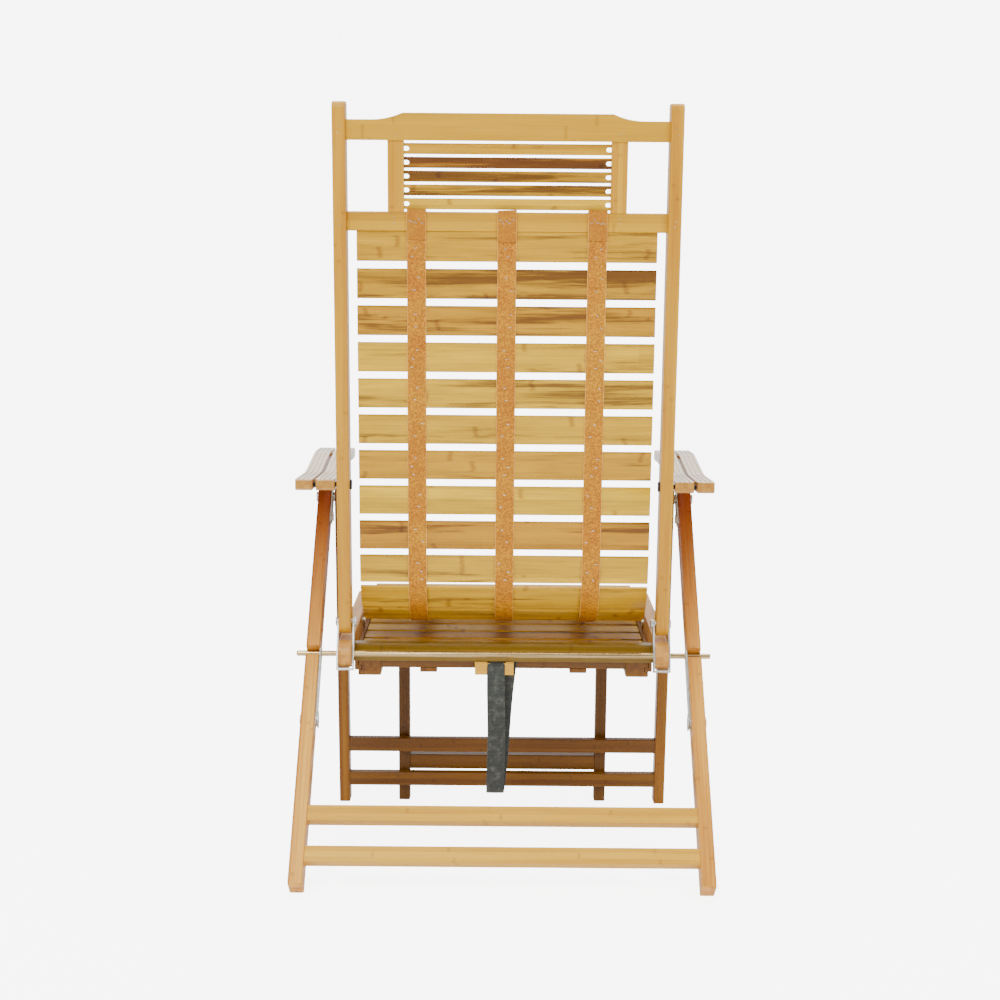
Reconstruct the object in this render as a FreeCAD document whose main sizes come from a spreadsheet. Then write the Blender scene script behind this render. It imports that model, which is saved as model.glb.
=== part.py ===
import FreeCAD, Part
import Sketcher
import math
import os

# Folding bamboo recliner, standing open with its footrest pushed in.
# +Z is up, the sitter faces -Y, +X is the sitter's left. All sizes are millimetres.
# Side-view positions are written from the steel rod that joins seat and rear legs.

doc = FreeCAD.newDocument("folding_recliner")
V = FreeCAD.Vector

SIZES = {
    # the steel rod at the rear of the seat
    "rod_forward": 69.0, "rod_height": 323.5, "rod_radius": 4.5, "rod_overhang": 16.4,
    # layers across the chair, counted from the middle
    "stile_outer": 270.0, "front_leg_inner": 275.0, "front_leg_thick": 19.0,
    "rear_leg_inner": 300.0, "rear_leg_thick": 22.0, "plate_thick": 2.5, "layer_gap": 0.3,
    # legs
    "apex_forward": 197.0, "apex_height": 562.0, "front_foot_forward": 284.0,
    "front_leg_width": 32.0, "front_leg_above": 32.0, "rod_offset": 3.5,
    "rear_leg_width": 40.0, "rear_leg_above": 20.0, "rear_foot_round": 4.0,
    "front_rail_tall": 25.5, "front_rail_deep": 14.0,
    "front_rail_recess": 2.0,
    "front_upper_rail_top": 123.0, "front_lower_rail_top": 58.0,
    "stretcher_wide": 26.0, "stretcher_deep": 21.0, "stretcher_recess": 3.0,
    "lower_stretcher_up": 63.0, "stretcher_gap": 40.0,
    "notch_clearance": 0.3, "notch_flare_up": 1.5, "notch_flare_down": 6.0,
    # bolts and steel plates
    "bolt_radius": 4.0, "running_gap": 0.05, "head_radius": 8.5, "head_thick": 4.0,
    "nut_radius": 8.0, "nut_thick": 2.8, "link_end_radius": 11.0, "link_bolt_height": 229.5,
    "apex_plate_end": 13.0, "apex_plate_reach": 41.0, "pin_radius": 4.0, "pin_above_apex": 21.0,
    # seat frame
    "seat_slope": 3.2, "seat_rail_thick": 22.0, "seat_rail_tall": 44.0, "seat_rail_inset": 0.5,
    "seat_front": 400.0, "seat_rear_end": 20.0,
    "rear_rail_start": 20.0, "rear_rail_deep": 20.0, "rear_rail_tall": 30.0, "rear_rail_top": 12.8,
    "seat_front_rail_tall": 22.0, "seat_front_rail_inset": 4.0,
    # mat of slats on three straps
    "slat_wide": 46.7, "slat_thick": 7.0, "slat_length": 469.0, "slat_pitch": 57.9,
    "slat_round": 2.0, "strap_wide": 30.0, "strap_thick": 2.0, "strap_spacing": 141.0,
    "bend_radius": 130.0, "seat_slat_count": 4.0,
    # back frame, heights measured along the stiles from the stile bolts
    "back_lean": 6.9, "stile_thick": 20.5, "stile_deep": 38.0, "stile_above": 831.5,
    "stile_bolt_forward": 16.0, "stile_bolt_height": 374.0,
    "crest_low": 773.3, "crest_end_tall": 31.3, "crest_mid_tall": 41.7, "crest_thick": 22.0,
    "crest_inset": 8.0, "crest_flat_from": 210.0, "crest_corner": 162.0,
    "cross_low": 635.3, "cross_tall": 29.3, "cross_thick": 20.0, "mat_inset": 9.0,
    "head_stile_inner": 160.5, "head_stile_wide": 25.0, "head_stile_thick": 16.0,
    "head_slat_tall": 16.8, "head_slat_gap": 4.2, "head_slat_thick": 8.0, "head_slat_count": 5.0,
    "head_notch_deep": 8.3, "head_notch_tall": 6.8, "slats_below_cross": 0.3,
    # armrests
    "arm_pivot_above": 230.0, "arm_tall": 19.0, "arm_drop": 8.5,
    "arm_front": 362.0, "arm_rear": 19.0, "arm_inner_from": 273.0, "arm_inner_wide": 30.5,
    "arm_gap": 5.0, "arm_outer_wide": 28.0, "arm_groove_deep": 1.6, "arm_groove_wide": 2.4,
    "arm_grooves": 3.0, "arm_groove_pitch": 7.4, "arm_ramp_start": 122.0, "arm_ramp_end": 277.0,
    "arm_rise": 25.0, "arm_bend": 240.0, "arm_front_round": 8.0,
    "rack_thick": 4.0, "rack_from": 294.8, "rack_seats": 4.0, "rack_seat_half": 4.6,
    "rack_notch": 1.8, "rack_hook": 3.0, "rack_end": 13.0, "recline": 35.0, "arm_follow": 0.72,
    # footrest
    "foot_side_outer": 241.7, "foot_side_wide": 38.2, "foot_side_tall": 25.0, "foot_side_drop": 22.7,
    "foot_rear": 45.0, "foot_front": 398.0, "foot_rail_deep": 20.0, "foot_rail_tall": 14.0,
    "foot_rail_raise": 2.0, "batten_inner": 110.5, "batten_wide": 28.1, "batten_tall": 7.0,
    "foot_slat_length": 483.0, "foot_slat_count": 6.0, "foot_slat_start": 67.0,
    "runner_thick": 5.3, "tongue_deep": 6.0, "tongue_tall": 7.0, "tongue_gap": 0.5,
    "groove_drop": 12.5,
    "foot_leg_outer": 187.3, "foot_leg_thick": 20.0, "foot_leg_wide": 24.0,
    "foot_pivot_forward": 266.0, "foot_pivot_height": 286.0, "foot_leg_lean": 5.7,
    "foot_leg_rail_top": 86.0, "foot_leg_rail_tall": 27.0, "foot_leg_rail_deep": 18.0,
    # webbing pull under the seat
    "block_from": -17.0, "block_wide": 64.0, "block_deep": 22.0, "block_tall": 22.0,
    "webbing_from": -3.5, "webbing_wide": 30.0, "webbing_thick": 2.0, "webbing_bottom": 82.0,
    "webbing_bend": 11.0,
    # stirrups round the seat rail ends
    "stirrup_thick": 2.6, "stirrup_wide": 12.0, "stirrup_low": 24.5,
    "edge_round": 2.0,
}

sheet = doc.addObject("Spreadsheet::Sheet", "Sizes")
for row, (name, number) in enumerate(SIZES.items(), start=1):
    sheet.set("A%d" % row, name)
    sheet.set("B%d" % row, str(number))
    sheet.setAlias("B%d" % row, name)
doc.recompute()


def size(name):
    """The sheet's value of one size."""
    return float(sheet.get(name))


finished = []


def side_place(forward, height, lean=0.0, x=0.0):
    """Placement of a piece seen from the side: rod-based position and a lean about X."""
    turn = FreeCAD.Rotation(V(1, 0, 0), lean)
    return FreeCAD.Placement(V(x, size("rod_forward") - forward, height), turn)


def add_finished(item, label, placement):
    """Names a finished piece and puts it in its place."""
    item.Label = label
    item.Placement = placement
    finished.append(item)
    return item


def new_body(name):
    body = doc.addObject("PartDesign::Body", name)
    body.AllowCompound = True
    return body


def plane_sketch(body, role, name):
    """A sketch on one of the body's own origin planes."""
    sketch = body.newObject("Sketcher::SketchObject", name)
    plane = [item for item in body.Origin.OriginFeatures if item.Role == role][0]
    sketch.AttachmentSupport = [(plane, "")]
    sketch.MapMode = "FlatFace"
    return sketch


def fix_point(sketch, geometry, point, across, up):
    """Ties one sketch point to two expressions, measured from the sketch origin."""
    for kind, text in (("DistanceX", across), ("DistanceY", up)):
        index = sketch.addConstraint(Sketcher.Constraint(kind, -1, 1, geometry, point, 1.0))
        sketch.setExpression("Constraints[%d]" % index, text)


def outline(sketch, corners):
    """A closed polygon whose corners are pairs of expressions."""
    count = len(corners)
    for index in range(count):
        turn = 2 * math.pi * index / count
        following = 2 * math.pi * (index + 1) / count
        start = V(math.cos(turn), math.sin(turn), 0)
        end = V(math.cos(following), math.sin(following), 0)
        sketch.addGeometry(Part.LineSegment(start, end), False)
    for index in range(count):
        sketch.addConstraint(Sketcher.Constraint("Coincident", index, 2, (index + 1) % count, 1))
    for index, (across, up) in enumerate(corners):
        fix_point(sketch, index, 1, across, up)


def rectangle(sketch, low_across, high_across, low_up, high_up):
    outline(sketch, [(low_across, low_up), (high_across, low_up),
                     (high_across, high_up), (low_across, high_up)])


def circle(sketch, across, up, radius):
    """A circle whose centre and radius are expressions."""
    index = sketch.addGeometry(Part.Circle(V(0, 0, 0), V(0, 0, 1), 1.0), False)
    fix_point(sketch, index, 3, across, up)
    tie = sketch.addConstraint(Sketcher.Constraint("Radius", index, 1.0))
    sketch.setExpression("Constraints[%d]" % tie, radius)


def pad(body, sketch, length, name):
    """A pad that runs equally to both sides of its sketch."""
    feature = body.newObject("PartDesign::Pad", name)
    feature.Profile = sketch
    feature.SideType = "Symmetric"
    feature.setExpression("Length", length)
    doc.recompute()
    return feature


def cut(body, sketch, name):
    """A pocket right through, both ways from its sketch, that must remove something."""
    before = body.Shape.Volume
    feature = body.newObject("PartDesign::Pocket", name)
    feature.Profile = sketch
    feature.Type = 1
    feature.SideType = "Symmetric"
    doc.recompute()
    if not body.Shape.Volume < before:
        raise RuntimeError(name + " cuts nothing")
    return feature


def fillet(body, wanted, radius, name):
    """Rounds the edges of the body's tip that the test accepts."""
    tip = body.Tip
    names = ["Edge%d" % number for number, edge in enumerate(tip.Shape.Edges, start=1)
             if wanted(edge)]
    feature = body.newObject("PartDesign::Fillet", name)
    feature.Base = (tip, names)
    feature.setExpression("Radius", radius)
    doc.recompute()
    return feature


def runs_along(edge, direction):
    """True for a straight edge parallel to the direction."""
    line = edge.Vertexes[-1].Point - edge.Vertexes[0].Point
    if line.Length < 1e-6 or abs(line.Length - edge.Length) > 1e-6:
        return False
    return abs(abs(line.normalize().dot(direction)) - 1) < 1e-6


ALONG_X = V(1, 0, 0)
ALONG_Y = V(0, 1, 0)
ALONG_Z = V(0, 0, 1)


def board(name, corners, thick, rounds=()):
    """A plank sawn to a side outline (Y, Z), its corners rounded and its arrises eased."""
    body = new_body(name)
    sketch = plane_sketch(body, "YZ_Plane", name + "_outline")
    outline(sketch, corners)
    pad(body, sketch, thick, name + "_plank")
    for index, (wanted, radius) in enumerate(rounds, start=1):
        fillet(body, lambda edge: runs_along(edge, ALONG_X) and wanted(edge.CenterOfMass),
               radius, "%s_round_%d" % (name, index))
    fillet(body, lambda edge: edge.BoundBox.XLength < 1e-4, "Sizes.edge_round",
           name + "_eased")
    return body


def bar(name, length, low_y, high_y, low_z, high_z):
    """A rail of rectangular section that runs across the chair, eased on its long edges."""
    body = new_body(name)
    sketch = plane_sketch(body, "YZ_Plane", name + "_section")
    rectangle(sketch, low_y, high_y, low_z, high_z)
    pad(body, sketch, length, name + "_rail")
    fillet(body, lambda edge: runs_along(edge, ALONG_X), "Sizes.edge_round", name + "_eased")
    return body


def cross_hole(body, name, across, up, radius):
    """A hole drilled through from side to side."""
    sketch = plane_sketch(body, "YZ_Plane", name + "_centre")
    circle(sketch, across, up, radius)
    return cut(body, sketch, name)


def pin(name, start, end, radius):
    """A plain round pin along X between two distances from the middle."""
    item = doc.addObject("Part::Cylinder", name)
    item.setExpression("Radius", radius)
    item.setExpression("Height", "(%s) - (%s)" % (end, start))
    item.Placement = FreeCAD.Placement(V(0, 0, 0), FreeCAD.Rotation(V(0, 1, 0), 90))
    item.setExpression("Placement.Base.x", start)
    return item


def pair(name, pieces):
    """The pieces of one side with their mirror image, as one group of separate solids."""
    one_side = doc.addObject("Part::MultiFuse", name + "_one_side")
    one_side.Shapes = pieces
    if len(pieces) == 1:
        doc.removeObject(one_side.Name)
        one_side = pieces[0]
    mirror = doc.addObject("Part::Mirroring", name + "_mirror")
    mirror.Source = one_side
    mirror.Normal = ALONG_X
    both = doc.addObject("Part::Compound", name + "_both")
    both.Links = [one_side, mirror]
    doc.recompute()
    return both


SIDES = (("left", 1), ("right", -1))
BOLT_HOLE = "Sizes.bolt_radius + Sizes.running_gap"

# Angles and side-view points that follow from the sizes

rod = V(0, 0, size("rod_height"))
apex = V(0, -size("apex_forward"), size("apex_height"))
front_run = size("front_foot_forward") - size("apex_forward")
front_lean = math.degrees(math.atan2(front_run, size("apex_height")))
front_length = math.hypot(front_run, size("apex_height"))
rod_bearing = math.degrees(math.atan2(rod.y - apex.y, apex.z - rod.z))
rear_lean = rod_bearing - math.degrees(math.asin(size("rod_offset") / (rod - apex).Length))
foot_reach = size("rear_leg_width") / 2 - size("rear_foot_round")
rear_below = size("rear_foot_round") + (
    size("apex_height") - size("rear_foot_round")
    - foot_reach * math.sin(math.radians(rear_lean))) / math.cos(math.radians(rear_lean))


def turned(vector, degrees):
    """A side-view vector turned about X."""
    return FreeCAD.Rotation(V(1, 0, 0), degrees).multVec(vector)


def in_frame(point, origin, lean):
    """A side-view point as seen from a frame that leans about X."""
    return turned(point - origin, -lean)


def place(point, lean=0.0, x=0.0):
    return side_place(-point.y, point.z, lean, x)


# Front legs: planks that lean forward at the foot, sawn level where they stand,
# with the apex bolt, the armrest pin and the seat bolt through them

seat_lean = -size("seat_slope")
seat_forward = turned(V(0, -1, 0), seat_lean)
leg_down = turned(V(0, 0, -1), -front_lean)
step = (apex - rod)
crossing = ((step.y * seat_forward.z - step.z * seat_forward.y)
            / (leg_down.z * seat_forward.y - leg_down.y * seat_forward.z))
seat_pivot = apex + leg_down * crossing

derived = doc.addObject("Spreadsheet::Sheet", "Derived")
DERIVED = {
    "front_length": front_length,
    "front_foot_slant": size("front_leg_width") / 2 * math.tan(math.radians(front_lean)),
    "seat_pivot_down": crossing,
    "front_rail_1": (size("apex_height") - size("front_upper_rail_top"))
    / math.cos(math.radians(front_lean)),
    "front_rail_2": (size("apex_height") - size("front_lower_rail_top"))
    / math.cos(math.radians(front_lean)),
}
rod_in_leg = in_frame(rod, apex, rear_lean)
DERIVED["rear_below"] = rear_below
DERIVED["lower_stretcher_top"] = rear_below - size("lower_stretcher_up")
DERIVED["upper_stretcher_top"] = (DERIVED["lower_stretcher_top"] - size("stretcher_wide")
                                  - size("stretcher_gap"))
DERIVED["rod_across"] = rod_in_leg.y
DERIVED["rod_down"] = -rod_in_leg.z
DERIVED["link_bolt_down"] = ((size("apex_height") - size("link_bolt_height"))
                             / math.cos(math.radians(rear_lean)))
link_bolt = apex + turned(V(0, 0, -1), rear_lean) * DERIVED["link_bolt_down"]
DERIVED["link_length"] = (rod - link_bolt).Length
DERIVED["seat_pivot_along"] = (seat_pivot - rod).Length
for row, (name, number) in enumerate(DERIVED.items(), start=1):
    derived.set("A%d" % row, name)
    derived.set("B%d" % row, repr(number))
    derived.setAlias("B%d" % row, name)
doc.recompute()

half_front = "Sizes.front_leg_width / 2"
for side, sign in SIDES:
    leg = board("front_leg_" + side, [
        ("-(%s)" % half_front, "-Derived.front_length - Derived.front_foot_slant"),
        (half_front, "-Derived.front_length + Derived.front_foot_slant"),
        (half_front, "Sizes.front_leg_above"),
        ("-(%s)" % half_front, "Sizes.front_leg_above")], "Sizes.front_leg_thick",
        [(lambda spot: spot.z > 0, "Sizes.front_leg_width / 3")])
    cross_hole(leg, "front_apex_hole_" + side, "0", "0", "Sizes.bolt_radius")
    cross_hole(leg, "front_pin_hole_" + side, "0", "Sizes.pin_above_apex", "Sizes.pin_radius")
    cross_hole(leg, "front_seat_hole_" + side, "0", "-Derived.seat_pivot_down",
               "Sizes.bolt_radius")
    middle = sign * (size("front_leg_inner") + size("front_leg_thick") / 2)
    add_finished(leg, "front_leg_" + side, place(apex, -front_lean, middle))

# Two rails between the front legs

rail_rear = "(Sizes.front_leg_width / 2 - Sizes.front_rail_recess)"
for label, drop in (("front_upper_rail", "Derived.front_rail_1"),
                    ("front_lower_rail", "Derived.front_rail_2")):
    rail = bar(label, "Sizes.front_leg_inner * 2", rail_rear + " - Sizes.front_rail_deep", rail_rear,
               "-%s - Sizes.front_rail_tall" % drop, "-" + drop)
    add_finished(rail, label, place(apex, -front_lean))

# Rear legs: longer planks with a round top about the apex bolt, a square foot,
# and a notch in the rear edge that the steel rod rests in

half_rear = "Sizes.rear_leg_width / 2"
NOTCH = "(Sizes.rod_radius + Sizes.notch_clearance)"
for side, sign in SIDES:
    leg = board("rear_leg_" + side, [
        ("-(%s)" % half_rear, "-Derived.rear_below"),
        (half_rear, "-Derived.rear_below"),
        (half_rear, "Sizes.rear_leg_above"),
        ("-(%s)" % half_rear, "Sizes.rear_leg_above")], "Sizes.rear_leg_thick",
        [(lambda spot: spot.z > 0, "Sizes.rear_leg_width / 2.05"),
         (lambda spot: spot.z < 0, "Sizes.rear_foot_round")])
    cross_hole(leg, "rear_apex_hole_" + side, "0", "0", BOLT_HOLE)
    cross_hole(leg, "link_bolt_hole_" + side, "0", "-Derived.link_bolt_down",
               "Sizes.bolt_radius")
    cross_hole(leg, "apex_screw_hole_" + side, "0", "-Sizes.apex_plate_reach",
               "Sizes.bolt_radius / 2")
    cross_hole(leg, "notch_seat_" + side, "Derived.rod_across", "-Derived.rod_down", NOTCH)
    mouth = plane_sketch(leg, "YZ_Plane", "notch_mouth_sketch_" + side)
    outline(mouth, [
        ("Derived.rod_across", "-Derived.rod_down - " + NOTCH),
        (half_rear + " + 1", "-Derived.rod_down - %s - Sizes.notch_flare_down" % NOTCH),
        (half_rear + " + 1", "-Derived.rod_down + %s + Sizes.notch_flare_up" % NOTCH),
        ("Derived.rod_across", "-Derived.rod_down + " + NOTCH)])
    cut(leg, mouth, "notch_mouth_" + side)
    middle = sign * (size("rear_leg_inner") + size("rear_leg_thick") / 2)
    add_finished(leg, "rear_leg_" + side, place(apex, rear_lean, middle))

# Two stretchers between the rear legs, set in a little from their rear edges

for label, top in (("rear_upper_stretcher", "Derived.upper_stretcher_top"),
                   ("rear_lower_stretcher", "Derived.lower_stretcher_top")):
    face = half_rear + " - Sizes.stretcher_recess"
    rail = bar(label, "Sizes.rear_leg_inner * 2", face + " - Sizes.stretcher_deep", face,
               "-%s - Sizes.stretcher_wide" % top, "-" + top)
    add_finished(rail, label, place(apex, rear_lean))

# Apex bolts: head outside, spacer between the legs, nut inside the front leg

REAR_OUTER = "(Sizes.rear_leg_inner + Sizes.rear_leg_thick)"
FRONT_OUTER = "(Sizes.front_leg_inner + Sizes.front_leg_thick)"
PLATE_INNER = "(Sizes.rear_leg_inner - Sizes.plate_thick)"
apex_bolts = pair("apex_bolt", [
    pin("apex_shank", "Sizes.front_leg_inner - Sizes.nut_thick",
        REAR_OUTER + " + Sizes.layer_gap + Sizes.head_thick", "Sizes.bolt_radius"),
    pin("apex_head", REAR_OUTER + " + Sizes.layer_gap",
        REAR_OUTER + " + Sizes.layer_gap + Sizes.head_thick", "Sizes.head_radius"),
    pin("apex_spacer", FRONT_OUTER, PLATE_INNER + " - Sizes.layer_gap", "Sizes.nut_radius"),
    pin("apex_nut", "Sizes.front_leg_inner - Sizes.nut_thick", "Sizes.front_leg_inner",
        "Sizes.nut_radius")])
add_finished(apex_bolts, "apex_bolts", place(apex))

# Armrest pins in the tops of the front legs

support_pins = pair("armrest_pin", [
    pin("armrest_pin_shank", "Sizes.front_leg_inner",
        "Sizes.rear_leg_inner - Sizes.layer_gap * 3", "Sizes.pin_radius")])
pin_centre = apex + turned(V(0, 0, size("pin_above_apex")), -front_lean)
add_finished(support_pins, "armrest_pins", place(pin_centre))

# Steel apex plates screwed to the inner faces of the rear legs


def strip_plate(name, low, high, end_radius):
    """A flat steel strip with two round ends, thick along X."""
    body = new_body(name)
    sketch = plane_sketch(body, "YZ_Plane", name + "_strip")
    rectangle(sketch, "-(%s)" % end_radius, end_radius, low, high)
    pad(body, sketch, "Sizes.plate_thick", name + "_sheet")
    for at, end in ((low, "low"), (high, "high")):
        round_end = plane_sketch(body, "YZ_Plane", "%s_%s_end" % (name, end))
        circle(round_end, "0", at, end_radius)
        pad(body, round_end, "Sizes.plate_thick", "%s_%s_round" % (name, end))
    return body


plate_middle = size("rear_leg_inner") - size("plate_thick") / 2
apex_plates = []
for side, sign in SIDES:
    plate = strip_plate("apex_plate_" + side, "-Sizes.apex_plate_reach", "0",
                        "Sizes.apex_plate_end")
    cross_hole(plate, "apex_plate_bolt_hole_" + side, "0", "0", BOLT_HOLE)
    cross_hole(plate, "apex_plate_screw_hole_" + side, "0", "-Sizes.apex_plate_reach",
               "Sizes.bolt_radius / 2")
    plate.Placement = FreeCAD.Placement(V(sign * plate_middle, 0, 0), FreeCAD.Rotation())
    apex_plates.append(plate)
both_plates = doc.addObject("Part::Compound", "apex_plate_pair")
both_plates.Links = apex_plates
doc.recompute()
add_finished(both_plates, "apex_plates", place(apex, rear_lean))

apex_screws = pair("apex_screw", [
    pin("apex_screw_shank", PLATE_INNER, REAR_OUTER, "Sizes.bolt_radius / 2"),
    pin("apex_screw_head", PLATE_INNER + " - Sizes.nut_thick", PLATE_INNER,
        "Sizes.nut_radius")])
screw_point = apex + turned(V(0, 0, -size("apex_plate_reach")), rear_lean)
add_finished(apex_screws, "apex_plate_screws", place(screw_point))

# Link plates: steel strips that hold the rod to the rear legs, pivoted on thumb bolts

link_lean = math.degrees(math.atan2(link_bolt.y - rod.y, rod.z - link_bolt.z))
for side, sign in SIDES:
    plate = strip_plate("link_strip_" + side, "0", "Derived.link_length",
                        "Sizes.link_end_radius")
    cross_hole(plate, "link_low_hole_" + side, "0", "0", BOLT_HOLE)
    cross_hole(plate, "link_rod_hole_" + side, "0", "Derived.link_length",
               "Sizes.rod_radius + Sizes.running_gap")
    add_finished(plate, "link_plate_" + side,
                 place(link_bolt, link_lean, sign * (plate_middle - size("layer_gap") / 2)))

LINK_INNER = "(Sizes.rear_leg_inner - Sizes.plate_thick - Sizes.layer_gap)"
wing = doc.addObject("Part::Box", "thumb_wing")
wing.setExpression("Length", "Sizes.nut_thick - Sizes.layer_gap * 2")
wing.setExpression("Width", "Sizes.head_radius")
wing.setExpression("Height", "Sizes.head_radius * 3")
wing.setExpression("Placement.Base.x", LINK_INNER + " - Sizes.nut_thick + Sizes.layer_gap")
wing.setExpression("Placement.Base.y", "-Sizes.head_radius / 2")
wing.setExpression("Placement.Base.z", "-Sizes.head_radius * 1.5")
thumb_bolts = pair("thumb_bolt", [
    pin("thumb_shank", LINK_INNER + " - Sizes.nut_thick + Sizes.layer_gap",
        REAR_OUTER + " + Sizes.nut_thick", "Sizes.bolt_radius"),
    pin("thumb_collar", LINK_INNER + " - Sizes.nut_thick + Sizes.layer_gap",
        LINK_INNER + " - Sizes.layer_gap", "Sizes.head_radius"),
    pin("thumb_nut", REAR_OUTER, REAR_OUTER + " + Sizes.nut_thick", "Sizes.nut_radius"),
    wing])
add_finished(thumb_bolts, "link_thumb_bolts", place(link_bolt))

# The steel rod through seat rails, stirrups, link plates and the leg notches

rod_bar = doc.addObject("Part::Cylinder", "rod_bar")
rod_bar.setExpression("Radius", "Sizes.rod_radius")
ROD_END = "(Sizes.rear_leg_inner + Sizes.rear_leg_thick + Sizes.rod_overhang)"
rod_bar.setExpression("Height", ROD_END + " * 2")
rod_bar.Placement = FreeCAD.Placement(V(0, 0, 0), FreeCAD.Rotation(V(0, 1, 0), 90))
rod_bar.setExpression("Placement.Base.x", "-" + ROD_END)
doc.recompute()
rod_round = doc.addObject("Part::Fillet", "rod_round")
rod_round.Base = rod_bar
rod_round.Edges = [(number, size("rod_radius") / 2, size("rod_radius") / 2)
                   for number, edge in enumerate(rod_bar.Shape.Edges, start=1)
                   if edge.Curve.TypeId == "Part::GeomCircle"]
doc.recompute()
add_finished(rod_round, "rod", place(rod))

# Seat rails: planks with a rounded rear end, drilled for the rod and the seat bolts

seat_middle = size("stile_outer") - size("seat_rail_inset") - size("seat_rail_thick") / 2
half_tall = "Sizes.seat_rail_tall / 2"
for side, sign in SIDES:
    rail = board("seat_rail_" + side, [
        ("-Sizes.seat_front", "-(%s)" % half_tall),
        ("Sizes.seat_rear_end", "-(%s)" % half_tall),
        ("Sizes.seat_rear_end", half_tall),
        ("-Sizes.seat_front", half_tall)], "Sizes.seat_rail_thick",
        [(lambda spot: spot.y > 0, "Sizes.seat_rail_tall / 2.05"),
         (lambda spot: spot.y < 0, "Sizes.seat_rail_tall / 4")])
    cross_hole(rail, "seat_rod_hole_" + side, "0", "0", "Sizes.rod_radius")
    cross_hole(rail, "seat_bolt_hole_" + side, "-Derived.seat_pivot_along", "0",
               "Sizes.bolt_radius")
    add_finished(rail, "seat_rail_" + side, place(rod, seat_lean, sign * seat_middle))

SEAT_INNER = "(Sizes.stile_outer - Sizes.seat_rail_inset - Sizes.seat_rail_thick)"
SEAT_OUTER = "(Sizes.stile_outer - Sizes.seat_rail_inset)"
rear_rail = bar("rear_rail_bar", SEAT_INNER + " * 2",
                "-Sizes.rear_rail_start - Sizes.rear_rail_deep", "-Sizes.rear_rail_start",
                "Sizes.rear_rail_top - Sizes.rear_rail_tall", "Sizes.rear_rail_top")
add_finished(rear_rail, "seat_rear_rail", place(rod, seat_lean))
front_rail = bar("front_rail_bar", SEAT_INNER + " * 2",
                 "-Sizes.seat_front + Sizes.seat_front_rail_inset",
                 "-Sizes.seat_front + Sizes.seat_front_rail_inset + Sizes.rear_rail_deep",
                 "Sizes.rear_rail_top - Sizes.seat_front_rail_tall", "Sizes.rear_rail_top")
add_finished(front_rail, "seat_front_rail", place(rod, seat_lean))

# Seat bolts: the head and shank stay in the seat rail, the end and nut in the front leg

seat_bolts = pair("seat_bolt", [
    pin("seat_bolt_shank", SEAT_INNER, "Sizes.front_leg_inner - Sizes.layer_gap",
        "Sizes.bolt_radius"),
    pin("seat_bolt_head", SEAT_INNER + " - Sizes.nut_thick", SEAT_INNER, "Sizes.head_radius"),
    pin("seat_bolt_washer", SEAT_OUTER, "Sizes.front_leg_inner - Sizes.layer_gap",
        "Sizes.head_radius")])
add_finished(seat_bolts, "seat_pivot_bolts", place(seat_pivot))
seat_nuts = pair("seat_nut", [
    pin("seat_nut_shank", "Sizes.front_leg_inner", FRONT_OUTER + " + Sizes.nut_thick",
        "Sizes.bolt_radius"),
    pin("seat_nut_disc", FRONT_OUTER, FRONT_OUTER + " + Sizes.nut_thick", "Sizes.nut_radius")])
add_finished(seat_nuts, "seat_pivot_nuts", place(seat_pivot))

# Stirrups: steel strips bent in a U under each seat rail end, up to the stile bolts

stile_bolt = V(0, -size("stile_bolt_forward"), size("stile_bolt_height"))
bolt_from_rod = stile_bolt - rod
stirrup_reach = bolt_from_rod.Length
stirrup_lean = math.degrees(math.atan2(-bolt_from_rod.y, bolt_from_rod.z))
STIRRUP_INNER = SEAT_INNER + " - Sizes.layer_gap - Sizes.stirrup_thick"


def stirrup(side, sign):
    """Two drilled arms joined under the rail by a flat bar."""
    arms = []
    low = size("stirrup_low")
    inner = size("stile_outer") - size("seat_rail_inset") - size("seat_rail_thick")
    thick = size("stirrup_thick")
    gap = size("layer_gap")
    for start in (inner - gap - thick, size("stile_outer") + gap):
        arm = Part.makeBox(thick, size("stirrup_wide"), stirrup_reach + low,
                           V(start, -size("stirrup_wide") / 2, -low))
        eye = Part.makeCylinder(size("stirrup_wide") / 2 + 1, thick,
                                V(start, 0, stirrup_reach), ALONG_X)
        arm = arm.fuse(eye)
        rod_hole = Part.makeCylinder(size("rod_radius"), thick, V(start, 0, 0), ALONG_X)
        bolt_hole = Part.makeCylinder(size("bolt_radius") + size("running_gap"), thick,
                                      V(start, 0, stirrup_reach), ALONG_X)
        arms.append(arm.cut(rod_hole).cut(bolt_hole))
    width = size("stile_outer") + gap + thick - (inner - gap - thick)
    under = Part.makeBox(width, size("stirrup_wide"), thick,
                         V(inner - gap - thick, -size("stirrup_wide") / 2, -low - thick))
    shape = arms[0].fuse([arms[1], under]).removeSplitter()
    if sign < 0:
        shape = shape.mirror(V(0, 0, 0), ALONG_X)
    return shape


stirrups = doc.addObject("Part::Feature", "stirrup_pair")
stirrups.Shape = Part.makeCompound([stirrup(side, sign) for side, sign in SIDES])
add_finished(stirrups, "stirrups", place(rod, stirrup_lean))

STILE_INNER = "(Sizes.stile_outer - Sizes.stile_thick)"
stile_bolts = pair("stile_bolt", [
    pin("stile_bolt_shank", STIRRUP_INNER + " - Sizes.nut_thick - Sizes.layer_gap",
        "Sizes.stile_outer + Sizes.layer_gap * 2 + Sizes.stirrup_thick", "Sizes.bolt_radius"),
    pin("stile_bolt_head", STIRRUP_INNER + " - Sizes.nut_thick - Sizes.layer_gap",
        STIRRUP_INNER + " - Sizes.layer_gap", "Sizes.nut_radius")])
add_finished(stile_bolts, "stile_bolts", place(stile_bolt))

# Back frame: two stiles with round feet about the stile bolts, and rounded tops

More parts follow.
